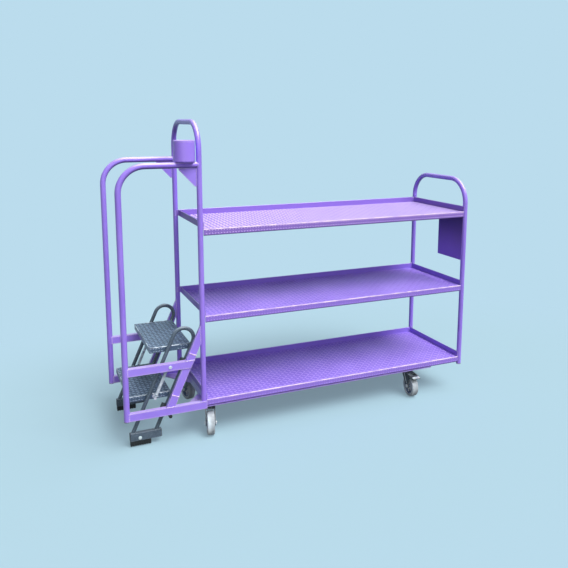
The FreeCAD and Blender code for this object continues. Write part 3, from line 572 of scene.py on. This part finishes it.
# Lower trays' lugs are painted paler than their plate: painted highlight on the raised lugs.
TRAY_LUG_HIGHLIGHT_PAINT = purple_enamel("tray_lug_enamel", shade(164, 131, 238), shade(184, 153, 248),
                               dust_and_sheen=0.1, gloss=0.3, shine=0.3, pale_edge_radius=0.001)
TOP_LUG_SHEEN_PAINT = purple_enamel("top_lug_sheen_enamel", shade(202, 170, 246), shade(222, 193, 252),
                              dust_and_sheen=0.36, gloss=0.4, shine=0.4, pale_edge_radius=0.001)
# End panel: darker towards its top, a painted shade from the top tray above it.
PANEL_PAINT = purple_enamel("panel_enamel", shade(160, 128, 238), shade(168, 136, 244),
                            shine=0.1, pale_edge_radius=0.001, painted_top_shade=shade(88, 69, 134))
# Dark tone for the drip edge under each tray's front fold: a painted shadow line.
DRIP_SHADE_PAINT = purple_enamel("drip_shade_enamel", shade(62, 46, 110), shade(76, 58, 130), shine=0.1, pale_edge_radius=0.001)
TREAD_PAINT = slate_hammer("tread_slate", shade(54, 70, 91), shade(73, 92, 116), shade(107, 130, 156))
# Tread lugs are painted paler than the plate: wear on their tops, and painted highlight.
TREAD_LUG_WEAR_AND_HIGHLIGHT_PAINT = slate_hammer("tread_lug_slate", shade(112, 133, 157), shade(142, 163, 187),
                               shade(188, 203, 218))
FOOT_PAINT = slate_hammer("foot_slate", shade(61, 73, 87), shade(85, 98, 114),
                          shade(124, 139, 156), dust_and_sheen=0.25)
SHADED_FORK_STEEL = shaded_fork_steel()
# The hub's ribs are painted near white: painted highlight.
RIB_HIGHLIGHT_PLASTIC = hub_plastic("rib_highlight_plastic", shade(226, 238, 250), shade(244, 250, 254))
# Pale purple for tray noses and brace laps: painted highlight, on the noses partly wear.
WEAR_AND_HIGHLIGHT_PURPLE = wear_and_highlight_enamel()
RUBBED_SLATE = rubbed_slate()


# Mesh building
class Shape:
    """Points and faces of one piece, in millimetres."""

    def __init__(self):
        self.points = []
        self.faces = []

    def loft(self, rings, loop=False):
        """Skin over rings of equal count, closed at its ends, or joined end to end."""
        base = len(self.points)
        sides = len(rings[0])
        count = len(rings)
        for ring in rings:
            self.points.extend(ring)
        for i in range(count if loop else count - 1):
            here = base + i * sides
            there = base + (i + 1) % count * sides
            for j in range(sides):
                k = (j + 1) % sides
                self.faces.append((here + j, here + k, there + k, there + j))
        if not loop:
            last = base + (count - 1) * sides
            self.faces.append(tuple(range(base + sides - 1, base - 1, -1)))
            self.faces.append(tuple(range(last, last + sides)))

    def bar(self, path, radius, sides=6, loop=False):
        """Round bar along points. The radius is a number or a function of the point's index."""
        rings = []
        count = len(path)
        side = None
        for i, point in enumerate(path):
            before = path[i - 1] if loop or i else point
            after = path[(i + 1) % count] if loop or i < count - 1 else point
            along = (after - before).normalized()
            side = side - along * side.dot(along) if side else along.orthogonal()
            side.normalize()
            over = along.cross(side)
            size = radius(i) if callable(radius) else radius
            turns = [2 * math.pi * j / sides for j in range(sides)]
            rings.append([point + (side * math.cos(t) + over * math.sin(t)) * size for t in turns])
        self.loft(rings, loop)

    def turned(self, centre, axis, profile, sides=24):
        """Ring turned about an axis, from a closed profile of (distance along the axis, radius) points."""
        axis = axis.normalized()
        side = axis.orthogonal().normalized()
        over = axis.cross(side)
        rings = []
        for i in range(sides):
            t = 2 * math.pi * i / sides
            out = side * math.cos(t) + over * math.sin(t)
            rings.append([centre + axis * far + out * radius for far, radius in profile])
        self.loft(rings, True)

    def weld(self, path, radius=WELD_R, loop=False):
        """Rippled bead along a line, half sunk in the two pieces that it joins."""
        def ripple(i):
            return radius * (1 + 0.16 * math.sin(2.2 * i) + 0.06 * math.sin(0.7 * i))
        self.bar(spread(path, radius * 1.2, loop), ripple, 6, loop)

    def washer(self, centre, axis, bore, rim, thick):
        """Flat washer with a softened rim, standing on a face."""
        soft = thick * WASHER_SOFT
        self.turned(centre, axis, [(-WASHER_SUNK, bore), (-WASHER_SUNK, rim), (thick - soft, rim),
                                   (thick, rim - soft), (thick, bore)])

    def plug(self, centre, out, half_y, half_z):
        """Rounded plate that closes the end of a box section along X."""
        rings = []
        for far, inset in PLUG_STEPS:
            outline = rounded_box(half_y - inset, half_z - inset, PLUG_CORNER)
            rings.append([centre + out * far + Y * y + Z * z for y, z in outline])
        self.loft(rings)

    def piece(self, name, body, slot, paint=None, smooth=40.0):
        """Mesh object that rides on a body."""
        mesh = bpy.data.meshes.new(name)
        mesh.from_pydata([p * MM for p in self.points], [], self.faces)
        work = bmesh.new()
        work.from_mesh(mesh)
        bmesh.ops.recalc_face_normals(work, faces=work.faces)
        limit = math.radians(smooth)
        for edge in work.edges:
            edge.smooth = len(edge.link_faces) < 2 or edge.calc_face_angle(0.0) < limit
        for face in work.faces:
            face.smooth = True
        work.to_mesh(mesh)
        work.free()
        made = bpy.data.objects.new(name, mesh)
        bpy.context.scene.collection.objects.link(made)
        made.data.materials.append(paint or FINISHES[slot])
        if body:
            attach(made, body)
        return made


def spread(path, gap, loop=False):
    """The same line with its points about a gap apart."""
    stops = path + [path[0]] if loop else path
    points = []
    for a, b in zip(stops, stops[1:]):
        count = max(1, round((b - a).length / gap))
        points.extend(a.lerp(b, i / count) for i in range(count))
    return points if loop else points + [stops[-1]]


def rounded_box(half_y, half_z, radius, steps=4):
    """Outline of a rectangle with rounded corners."""
    outline = []
    for quarter, (sy, sz) in enumerate(((1, 1), (-1, 1), (-1, -1), (1, -1))):
        for i in range(steps + 1):
            t = math.pi / 2 * (quarter + i / steps)
            outline.append((sy * (half_y - radius) + radius * math.cos(t),
                            sz * (half_z - radius) + radius * math.sin(t)))
    return outline


# Tread plate
LUG_LENGTH = 27.0
LUG_WIDTH = 9.0
LUG_RISE = 2.0
LUG_SUNK = 0.4
LUG_TOP = 0.5
LUG_OUTLINE = ((1, 0), (0.62, 0.7), (0, 1), (-0.62, 0.7), (-1, 0), (-0.62, -0.7), (0, -1), (0.62, -0.7))
LUG_TURN = math.radians(30.0)
TRAY_PITCH = (25.0, 25.0)
TREAD_PITCH = (21.3, 25.0)
TREAD_LUG_SCALE = 0.86
FOLD_LUG_SCALE = 0.5
PLATE_MARGIN = 6.0


def lug(shape, centre, along, out, scale):
    """Lens-shaped raised lug on a plate."""
    across = out.cross(along)
    half_length = scale * LUG_LENGTH / 2
    half_width = scale * LUG_WIDTH / 2
    outline = [along * (u * half_length) + across * (v * half_width) for u, v in LUG_OUTLINE]
    low = [centre - out * LUG_SUNK + p for p in outline]
    high = [centre + out * (LUG_RISE * scale) + p * LUG_TOP for p in outline]
    shape.loft([low, high])


def lug_field(shape, corner, along, across, length, width, pitch, scale=1.0, keep=None):
    """Lugs over a rectangle of plate, in waves: turned one way and the other by turns."""
    out = along.cross(across)
    columns = max(1, round(length / pitch[0]))
    rows = max(1, round(width / pitch[1]))
    for i in range(columns):
        for j in range(rows):
            far = (i + 0.5) * length / columns
            wide = (j + 0.5) * width / rows
            centre = corner + along * far + across * wide
            if keep and not keep(centre):
                continue
            turn = LUG_TURN if (i + j) % 2 else -LUG_TURN
            lug(shape, centre, along * math.cos(turn) + across * math.sin(turn), out, scale)


def tray_plate(level, floor_z):
    """Raised lugs on a tray's floor and along its front fold."""
    shape = Shape()
    x0 = TRAY_X[0] + TRAY_SHEET + PLATE_MARGIN
    y0 = TRAY_Y[0] + PLATE_MARGIN
    length = TRAY_X[1] - TRAY_SHEET - PLATE_MARGIN - x0
    width = TRAY_Y[1] - TRAY_SHEET - PLATE_MARGIN - y0
    fold = (TRAY_LIP / 2, TRAY_LIP / 2)
    lug_field(shape, Vector((x0, y0, floor_z)), X, Y, length, width, TRAY_PITCH)
    corner = Vector((x0, TRAY_Y[0], floor_z - TRAY_LIP))
    lug_field(shape, corner, X, Z, length, TRAY_LIP, fold, FOLD_LUG_SCALE)
    # Lugs are painted paler than their plate, on the top tray much paler: painted highlight and sheen.
    paint = TOP_LUG_SHEEN_PAINT if level == "top" else TRAY_LUG_HIGHLIGHT_PAINT
    shape.piece(f"{level}_tray_lugs", "frame", "purple_paint", paint)


def tray_edges(level, floor_z):
    """Hems on a tray's upstands; along its front fold a drip edge painted dark, a painted shadow line, and
    a nose painted pale, a painted highlight that is partly wear.
    """
    high = floor_z + TRAY_LIP
    low = floor_z - TRAY_LIP
    x0, x1 = TRAY_X[0] + TRAY_SHEET / 2, TRAY_X[1] - TRAY_SHEET / 2
    y0, y1 = TRAY_Y[0], TRAY_Y[1] - TRAY_SHEET / 2
    hems = Shape()
    corners = ((x0, y0), (x0, y1), (x1, y1), (x1, y0))
    hems.bar([Vector((x, y, high)) for x, y in corners], HEM_R, 8)
    hems.piece(f"{level}_tray_hems", "frame", "purple_paint")
    # Drip edge painted dark: a painted shadow line under the fold.
    drip = Shape()
    drip_y = y0 + TRAY_SHEET / 2
    drip.bar([Vector((x0, drip_y, low)), Vector((x1, drip_y, low))], DRIP_R, 8)
    drip.piece(f"{level}_tray_drip", "frame", "purple_paint", DRIP_SHADE_PAINT)
    # Nose painted pale: a painted highlight along the fold's top edge, partly wear.
    nose = Shape()
    nose_y, nose_z = y0 + NOSE_INSET, floor_z - NOSE_INSET
    nose.bar([Vector((x0, nose_y, nose_z)), Vector((x1, nose_y, nose_z))], NOSE_R, 10)
    nose.piece(f"{level}_tray_nose", "frame", "purple_paint", WEAR_AND_HIGHLIGHT_PURPLE)


def tread_plate(level, top_z):
    """Raised lugs on a tread's top and folded edges, clear of the legs and bolts, and its rubbed noses."""
    shape = Shape()
    x1 = leg_x(top_z) - TREAD_TAIL
    x0 = x1 - TREAD_DEPTH
    low = top_z - TREAD_LIP
    width = 2 * TREAD_SIDE
    fold = (TREAD_LIP / 2, TREAD_LIP / 2)

    def clear(centre):
        legs = (leg_x(centre.z), front_leg_x(centre.z), leg_x(centre.z, SPRING_AHEAD))
        return all(abs(centre.x - leg) > 2 * LEG_R for leg in legs)

    def folded(corner, along, length, keep=None):
        lug_field(shape, Vector(corner), along, Z, length, TREAD_LIP, fold, FOLD_LUG_SCALE, keep)

    corner = Vector((x0, -TREAD_SIDE, top_z))
    lug_field(shape, corner, X, Y, TREAD_DEPTH, width, TREAD_PITCH, TREAD_LUG_SCALE)
    folded((x0, TREAD_SIDE, low), -Y, width)
    folded((x0, -TREAD_SIDE, low), X, TREAD_DEPTH, clear)
    folded((x1, TREAD_SIDE, low), -X, TREAD_DEPTH, clear)
    shape.piece(f"{level}_tread_lugs", "step_unit", "step_paint", TREAD_LUG_WEAR_AND_HIGHLIGHT_PAINT)

    nose = Shape()
    z = top_z - TREAD_NOSE_DROP
    near, far = x0 + TREAD_NOSE_END, x1 - TREAD_NOSE_END
    for side in SIDES:
        y = side * (TREAD_SIDE - TREAD_NOSE_INSET)
        nose.bar([Vector((near, y, z)), Vector((far, y, z))], TREAD_NOSE_R, 10)
    x = x0 + TREAD_NOSE_INSET
    y = TREAD_SIDE - TREAD_NOSE_CORNER
    nose.bar([Vector((x, -y, z)), Vector((x, y, z))], TREAD_NOSE_R, 10)
    nose.piece(f"{level}_tread_nose", "step_unit", "step_paint", RUBBED_SLATE)


for level, floor_z in TRAY_FLOORS.items():
    tray_plate(level, floor_z)
    tray_edges(level, floor_z)
for level, top_z in (("upper", UPPER_TREAD_Z), ("lower", LOWER_TREAD_Z)):
    tread_plate(level, top_z)


# Welds of the frame
def handrail_saddle(side):
    """Line where the handrail's end meets the left upright."""
    path = []
    for i in range(RING_STEPS):
        t = 2 * math.pi * i / RING_STEPS
        y = HANDRAIL_R * math.sin(t)
        setback = math.sqrt(max(0.0, UPRIGHT_R ** 2 - y ** 2))
        path.append(Vector((X_LEFT - max(WELD_SETBACK, setback), side * Y_SIDE + y,
                            HANDRAIL_Z + HANDRAIL_R * math.cos(t))))
    return path


def rail_end(side, low, high):
    """Line round a rail's section where it meets the post."""
    path = []
    for y, z in ((-1, low), (0, low), (1, low), (1, high), (0, high), (-1, high)):
        out = y * RAIL_HALF
        path.append(Vector((X_POST + math.sqrt(HANDRAIL_R ** 2 - out ** 2), side * Y_SIDE + out, z)))
    return path


def brace_end(side, z, lap):
    """Line round a brace where it meets a rail's level face."""
    half = BRACE_WIDTH / 2 / math.cos(LEAN)
    outer = side * (Y_SIDE + BRACE_HALF + lap)
    inner = side * (Y_SIDE - BRACE_HALF)
    x0, x1 = brace_x(z) - half, brace_x(z) + half
    return [Vector(p) for p in ((x0, outer, z), (x1, outer, z), (x1, inner, z), (x0, inner, z))]


def level_ring(x, y, z, reach_x, reach_y):
    turns = [2 * math.pi * i / RING_STEPS for i in range(RING_STEPS)]
    return [Vector((x + reach_x * math.cos(t), y + reach_y * math.sin(t), z)) for t in turns]


def tray_weld_spots(side):
    """Places beside the uprights where the trays' upstands are welded on."""
    y = side * Y_SIDE
    for way in (-1, 1):
        if side < 0:
            yield TRAY_X[0] - WELD_PROUD, y + WELD_SHIFT * way
            yield TRAY_X[1] + WELD_PROUD, y + WELD_SHIFT * way
        else:
            yield X_LEFT + WELD_SHIFT * way, TRAY_Y[1] + WELD_PROUD
            yield X_RIGHT - WELD_SHIFT, TRAY_Y[1] + WELD_PROUD


def frame_welds(side):
    shape = Shape()
    y = side * Y_SIDE
    reach = UPRIGHT_R + RING_CLEAR
    shape.weld(handrail_saddle(side), SADDLE_WELD_R, True)
    shape.weld(level_ring(X_LEFT, y, BASE_TOP + WELD_PROUD, reach, reach), WELD_R, True)
    shape.weld(rail_end(side, BASE_Z, BASE_TOP), WELD_R, True)
    shape.weld(rail_end(side, MID_LOW, MID_HIGH), WELD_R, True)
    shape.weld(brace_end(side, BASE_TOP, BRACE_LAP), WELD_R, True)
    shape.weld(brace_end(side, MID_LOW, 0), WELD_R, True)
    shape.weld(brace_end(side, MID_HIGH, BRACE_LAP), WELD_R, True)
    face = X_LEFT - UPRIGHT_R
    under = HANDRAIL_Z - HANDRAIL_R
    for way in (-1, 1):
        cheek = y + way * BRACE_HALF
        x = X_LEFT - math.sqrt(UPRIGHT_R ** 2 - BRACE_HALF ** 2)
        high = ANCHOR_Z + (x - brace_x(ANCHOR_Z)) / math.tan(LEAN)
        half = BRACE_WIDTH / 2 / math.sin(LEAN)
        shape.weld([Vector((x, cheek, high - half)), Vector((x, cheek, high + half))])
        plate = y + way * (GUSSET_HALF + WELD_PROUD)
        shape.weld([Vector((face - WELD_START, plate, under)),
                    Vector((face - GUSSET_LENGTH + WELD_STOP, plate, under))], FINE_WELD_R)
        shape.weld([Vector((face, plate, under - WELD_START)),
                    Vector((face, plate, under - GUSSET_HEIGHT + WELD_STOP))], FINE_WELD_R)
    for floor_z in TRAY_FLOORS.values():
        low, high = floor_z - TRAY_SHEET, floor_z + TRAY_LIP - WELD_STOP
        for spot_x, spot_y in tray_weld_spots(side):
            shape.weld([Vector((spot_x, spot_y, low)), Vector((spot_x, spot_y, high))], EDGE_WELD_R)
    shape.piece(f"frame_welds_{side_name(side)}", "frame", "purple_paint")


def brace_laps(side):
    """Bead across each brace where its thicker lower part ends, painted pale: a painted highlight on the
    lap's upward step.
    """
    shape = Shape()
    reach = BRACE_WIDTH / 2 - LAP_SEAM_INSET
    for z in (UPPER_LAP_Z, LOWER_LAP_Z):
        across = Vector((math.cos(LEAN), 0, -math.sin(LEAN)))
        middle = Vector((brace_x(z), side * (Y_SIDE + BRACE_HALF + BRACE_LAP * LAP_SEAM_SHARE), z))
        shape.weld([middle - across * reach, middle + across * reach], LAP_SEAM_R)
    shape.piece(f"brace_laps_{side_name(side)}", "frame", "purple_paint", WEAR_AND_HIGHLIGHT_PURPLE)


def pot_welds():
    """Two beads between the pot and the front handrail."""
    shape = Shape()
    x0, x1 = POT_X - POT_WELD_HALF, POT_X + POT_WELD_HALF
    z = HANDRAIL_Z + HANDRAIL_R - WELD_PROUD
    for way in (-1, 1):
        y = -Y_SIDE + way * POT_WELD_Y
        shape.weld([Vector((x0, y, z)), Vector((x1, y, z))], POT_WELD_R)
    shape.piece("pot_welds", "frame", "purple_paint")


def rail_fittings(side):
    """Washers under the spring anchors' heads, and plugs in the chassis rails' ends."""
    washers = Shape()
    face = Vector((leg_x(ANCHOR_Z, SPRING_AHEAD), side * (Y_SIDE + RAIL_HALF), ANCHOR_Z))
    washers.washer(face, Y * side, *BOLT_WASHER)
    washers.piece(f"anchor_washer_{side_name(side)}", "frame", "zinc")
    plugs = Shape()
    plugs.plug(Vector((CHASSIS_END, side * CHASSIS_Y, CHASSIS_Z)), X, *CHASSIS_HALF)
    plugs.piece(f"chassis_plug_{side_name(side)}", "frame", "black_nylon")


# Step unit details
def step_welds(side):
    shape = Shape()
    long, short = LEG_R / math.cos(LEAN) + RING_CLEAR, LEG_R + RING_CLEAR
    for x in (leg_x(FOOT_HIGH), front_leg_x(FOOT_HIGH)):
        shape.weld(level_ring(x, side * LEG_Y, FOOT_HIGH + FOOT_WELD_UP, long, short), FINE_WELD_R, True)
    for top_z in (UPPER_TREAD_Z, LOWER_TREAD_Z):
        low, high = top_z - TREAD_LIP + WELD_STOP, top_z - WELD_STOP
        y = side * (TREAD_SIDE + LEG_WELD_OUT)
        for leg, shifts in ((leg_x, (-WELD_SHIFT,)), (front_leg_x, (-WELD_SHIFT, WELD_SHIFT))):
            for shift in shifts:
                shape.weld([Vector((leg(low) + shift, y, low)),
                            Vector((leg(high) + shift, y, high))], EDGE_WELD_R)
    shape.piece(f"step_welds_{side_name(side)}", "step_unit", "step_paint")


def step_fittings(side):
    """Washers on the step unit's bolts, and plugs in the foot bar's ends."""
    name = side_name(side)
    washers = Shape()
    start = front_leg_x(FOOT_HIGH) - FOOT_FRONT
    for way in (-1, 1):
        face = Vector((start + BOLT_BACK, side * LEG_Y + way * FOOT_HALF, FOOT_LOW + BOLT_RISE))
        washers.washer(face, Y * way, *BOLT_WASHER)
    face = Vector((leg_x(SPRING_BOLT_Z, SPRING_AHEAD), side * TREAD_SIDE, SPRING_BOLT_Z))
    washers.washer(face, Y * side, *BOLT_WASHER)
    washers.piece(f"step_washers_{name}", "step_unit", "zinc")
    plugs = Shape()
    end = leg_x(FOOT_HIGH) + FOOT_BACK
    middle = (FOOT_LOW + FOOT_HIGH) / 2
    for x, out in ((start, -X), (end, X)):
        plugs.plug(Vector((x, side * LEG_Y, middle)), out, FOOT_HALF, (FOOT_HIGH - FOOT_LOW) / 2)
    plugs.piece(f"foot_plugs_{name}", "step_unit", "black_nylon")


def ribbed_pad(side):
    """Rubber pad under a foot bar, with ribs across its sides and sole."""
    start = front_leg_x(FOOT_HIGH) - FOOT_FRONT
    pitch = PAD_LENGTH / PAD_RIBS
    end_run, end_cut = PAD_END
    stops = [(0.0, end_cut)]
    for i in range(PAD_RIBS):
        at = i * pitch
        crest = at + pitch * PAD_RIB_SHARE
        stops.append((at + (PAD_SLOPE if i else end_run), 0.0))
        if i < PAD_RIBS - 1:
            stops += [(crest, 0.0), (crest + PAD_SLOPE, PAD_GROOVE), (at + pitch, PAD_GROOVE)]
    stops += [(PAD_LENGTH - end_run, 0.0), (PAD_LENGTH, end_cut)]
    rings = []
    for far, cut in stops:
        half, low = FOOT_HALF - cut, PAD_LOW + cut
        flank = [(half - inset, low + rise) for inset, rise in PAD_FLANK] + [(half, FOOT_LOW)]
        section = [(-y, z) for y, z in reversed(flank)] + flank
        rings.append([Vector((start + far, side * LEG_Y + y, z)) for y, z in section])
    shape = Shape()
    shape.loft(rings)
    made = shape.piece(f"ribbed_foot_pad_{side_name(side)}", "step_unit", "pad_rubber", smooth=25.0)
    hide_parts(f"foot_pad_{side_name(side)}")


def lift_spring(side):
    """Close-wound extension spring from the mid rail down to the lower tread."""
    low = Vector((leg_x(SPRING_BOLT_Z, SPRING_AHEAD), side * SPRING_Y, SPRING_BOLT_Z))
    high = Vector((leg_x(ANCHOR_Z, SPRING_AHEAD), side * SPRING_Y, ANCHOR_Z))
    along = (high - low).normalized()
    across = Vector((math.cos(LEAN), 0, -math.sin(LEAN)))
    start = low + along * SPRING_STEM
    run = (high - low).length - 2 * SPRING_STEM
    radius = (SPRING_D - SPRING_WIRE) / 2
    count = SPRING_TURNS * SPRING_STEPS
    path = []
    for i in range(count + 1):
        turn = 2 * math.pi * i / SPRING_STEPS
        out = across * math.cos(turn) + Y * (-side * math.sin(turn))
        path.append(start + along * (run * i / count) + out * radius)
    shape = Shape()
    shape.bar(path, SPRING_WIRE / 2, 8)
    name = side_name(side)
    made = shape.piece(f"lift_spring_coil_{name}", None, "spring_steel")
    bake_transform(made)
    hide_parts(f"lift_spring_{name}")


# Castor details
class Castor:
    """Places on one castor as it stands: across its wheel, outwards from its kingpin, and up."""

    def __init__(self, end, side):
        turn = math.radians(-CASTOR_SWING[end])
        self.name = f"{end}_{side_name(side)}"
        self.across = Vector((math.cos(turn), -side * math.sin(turn), 0))
        self.out = Vector((math.sin(turn), side * math.cos(turn), 0))
        self.pin = Vector((CASTOR_X[end], side * CASTOR_Y, 0))
        self.side = side

    def at(self, across, out, z):
        return self.pin + self.across * across + self.out * out + Z * z

    def hub_ribs(self):
        """Ribs from the hub's boss to its rim, and a cap ring round the boss, on both faces."""
        shape = Shape()
        axle = self.at(0, CASTOR_TRAIL, AXLE_Z)
        for face in (-1, 1):
            for i in range(HUB_RIBS):
                t = 2 * math.pi * i / HUB_RIBS + HUB_RIB_TURN
                spoke = self.out * math.cos(t) + Z * math.sin(t)
                wide = self.out * -math.sin(t) + Z * math.cos(t)
                rings = []
                for reach, high, half in HUB_RIB_STOPS:
                    section = ((-1, HUB_FOOT), (1, HUB_FOOT), (HUB_RIB_TAPER, high), (-HUB_RIB_TAPER, high))
                    rings.append([axle + spoke * reach + wide * (w * half) + self.across * (face * far)
                                  for w, far in section])
                shape.loft(rings)
            shape.turned(axle, self.across * face, HUB_CAP, 30)
        shape.piece(f"hub_ribs_{self.name}", f"wheel_{self.name}", "hub_plastic", RIB_HIGHLIGHT_PLASTIC)

    def tyre_rings(self):
        """Moulded rings on both sidewalls of the tyre."""
        shape = Shape()
        for face in (-1, 1):
            for reach in TYRE_RINGS:
                ring = []
                for i in range(TYRE_STEPS):
                    t = 2 * math.pi * i / TYRE_STEPS
                    out, z = CASTOR_TRAIL + reach * math.cos(t), AXLE_Z + reach * math.sin(t)
                    ring.append(self.at(face * TYRE_FACE, out, z))
                shape.bar(ring, TYRE_RING_R, 6, True)
        shape.piece(f"tyre_rings_{self.name}", f"wheel_{self.name}", "tyre_rubber")

    def fork_trim(self):
        """Washers on the axle and a pressed stiffening rib down each cheek."""
        shape = Shape()
        for face in (-1, 1):
            axle_end = self.at(face * FORK_FACE, CASTOR_TRAIL, AXLE_Z)
            shape.washer(axle_end, self.across * face, *AXLE_WASHER)
            rib = [self.at(face * FORK_FACE, out, z) for out, z in FORK_RIB]
            shape.bar(spread(rib, FORK_RIB_GAP), FORK_RIB_R, 8)
        shape.piece(f"fork_trim_{self.name}", f"fork_{self.name}", "zinc")

    def pedal_ribs(self):
        """Grip ribs across the brake pedal."""
        shape = Shape()
        half = PEDAL_TIP_HALF - PEDAL_RIB_INSET
        for i in range(PEDAL_RIBS):
            far = PEDAL_REACH - PEDAL_RIB_FIRST - PEDAL_RIB_PITCH * i
            out = CASTOR_TRAIL + PEDAL_OUT + far
            z = PEDAL_Z + PEDAL_TOP - PEDAL_FALL * far / PEDAL_REACH
            shape.bar([self.at(-half, out, z), self.at(half, out, z)], PEDAL_RIB_R, 8)
        shape.piece(f"pedal_ribs_{side_name(self.side)}", f"pedal_{side_name(self.side)}", "zinc")


for side in SIDES:
    frame_welds(side)
    brace_laps(side)
    rail_fittings(side)
    step_welds(side)
    step_fittings(side)
    ribbed_pad(side)
    lift_spring(side)
    for end in CASTOR_X:
        castor = Castor(end, side)
        castor.hub_ribs()
        castor.tyre_rings()
        castor.fork_trim()
        if end == "right":
            castor.pedal_ribs()
pot_welds()

# Paint on the solids
NODE_PAINT = {
    "left_hoop": TUBE_PAINT,
    "right_hoop": TUBE_PAINT,
    "handrail_front": TUBE_PAINT,
    "handrail_rear": TUBE_PAINT,
    "tool_pot": POT_LIGHTENED_PAINT,
    "end_panel": PANEL_PAINT,
    "bottom_tray": TRAY_PAINT,
    "middle_tray": TRAY_PAINT,
    "top_tray": TOP_TRAY_SHADED_PAINT,
    "upper_tread": TREAD_PAINT,
    "lower_tread": TREAD_PAINT,
    "foot_bars": FOOT_PAINT,
    "stop_bolts": FINISHES["pad_rubber"],
}
# Castor forks and brake pedals: painted dark with bright edges, painted shade and highlight.
for side in SIDES:
    NODE_PAINT[f"brake_pedal_{side_name(side)}"] = SHADED_FORK_STEEL
    for end in CASTOR_X:
        NODE_PAINT[f"castor_fork_{end}_{side_name(side)}"] = SHADED_FORK_STEEL


def dress_solids():
    """Gives each solid its own finish, or that of its slot in the record."""
    for entry in frame["record"]["subparts"]:
        solid = frame["nodes"][entry["node"]]
        solid.data.materials.clear()
        paint = NODE_PAINT.get(entry["node"]) or FINISHES[entry["material_slot"]]
        solid.data.materials.append(paint)


dress_solids()

# Stage, in metres
BACKDROP = shade(187, 220, 237)
FLOOR_CLOTH = shade(167, 198, 210)
FLOOR_BOUNCE = (0.10, 0.10, 0.10, 1.0)
FLOOR_OVAL = (0.62, 1.0, 0.0)
FLOOR_FADE = (1.0, 2.0)
FLOOR_GLOW = 0.33
FLOOR_HALF = 14.0

# Soft light of the world: colour and strength, and where along X one turns into the other
WORLD_LEFT = ((1.0, 1.0, 0.96, 1.0), 0.06)
WORLD_RIGHT = ((1.0, 1.0, 0.98, 1.0), 0.22)
WORLD_FADE = (-0.8, 0.9)

# Lamps: name, direction towards the lamp, strength and width in degrees
LAMPS = (
    ("overhead", (0.386, -0.12, 0.915), 1.0, 30),
    ("front_high", (0.21, -0.55, 0.808), 2.85, 34),
    ("left", (-0.62, -0.30, 0.725), 0.12, 60),
    ("low_fill", (-0.28, -0.92, 0.26), 0.85, 60),
)


def studio_floor():
    """Plain pale floor that keeps the shadow and fades into the backdrop."""
    f = finish("studio_floor")
    oval = f.node("ShaderNodeVectorMath", {"operation": "MULTIPLY"}, {0: f.place(), 1: FLOOR_OVAL})
    reach = f.node("ShaderNodeVectorMath", {"operation": "LENGTH"}, {0: oval}, "Value")
    shown = f.shown()
    cloth = f.node("ShaderNodeBsdfDiffuse", None, {"Color": f.mix(shown, FLOOR_BOUNCE, FLOOR_CLOTH)})
    glow = f.node("ShaderNodeEmission", None, {"Color": BACKDROP, "Strength": 1.0})
    share = (FLOOR_GLOW + (1 - FLOOR_GLOW) * reach.between(*FLOOR_FADE)) * shown
    material = f.end(f.node("ShaderNodeMixShader", None, {0: share, 1: cloth, 2: glow}))
    mesh = bpy.data.meshes.new("studio_floor")
    corners = [(x * FLOOR_HALF, y * FLOOR_HALF, 0) for x, y in ((-1, -1), (1, -1), (1, 1), (-1, 1))]
    mesh.from_pydata(corners, [], [(0, 1, 2, 3)])
    mesh.materials.append(material)
    floor = bpy.data.objects.new("studio_floor", mesh)
    bpy.context.scene.collection.objects.link(floor)


def studio_world():
    """Pale backdrop for the camera and for reflections, soft light mostly from the right for the rest."""
    world = bpy.data.worlds.new("studio")
    bpy.context.scene.world = world
    f = Finish(world)

    def sky(colour, strength):
        return f.node("ShaderNodeBackground", None, {"Color": colour, "Strength": strength})

    right = f.node("ShaderNodeSeparateXYZ", None, {0: f.place("Generated")}, "X").between(*WORLD_FADE)
    light = f.node("ShaderNodeMixShader", None, {0: right, 1: sky(*WORLD_LEFT), 2: sky(*WORLD_RIGHT)})
    seen = f.node("ShaderNodeMixShader", None, {0: f.shown(), 1: light, 2: sky(BACKDROP, 1.0)})
    f.end(seen, "ShaderNodeOutputWorld")


def soft_sun(name, toward, strength, spread_deg):
    """Wide lamp far away in a direction."""
    light = bpy.data.lights.new(name, "SUN")
    light.energy = strength
    light.angle = math.radians(spread_deg)
    lamp = bpy.data.objects.new(name, light)
    lamp.rotation_euler = (-Vector(toward)).to_track_quat("-Z", "Y").to_euler()
    bpy.context.scene.collection.objects.link(lamp)


def photo_camera():
    lens = bpy.data.cameras.new("photo_camera")
    lens.lens = CAMERA_LENS
    lens.shift_x, lens.shift_y = CAMERA_SHIFT
    camera = bpy.data.objects.new("photo_camera", lens)
    camera.location = CAMERA_PLACE
    camera.rotation_euler = (math.pi / 2 - CAMERA_PITCH, 0, -CAMERA_HEADING)
    bpy.context.scene.collection.objects.link(camera)
    bpy.context.scene.camera = camera


studio_floor()
studio_world()
for lamp in LAMPS:
    soft_sun(*lamp)
photo_camera()
bpy.context.scene.view_settings.view_transform = "Standard"
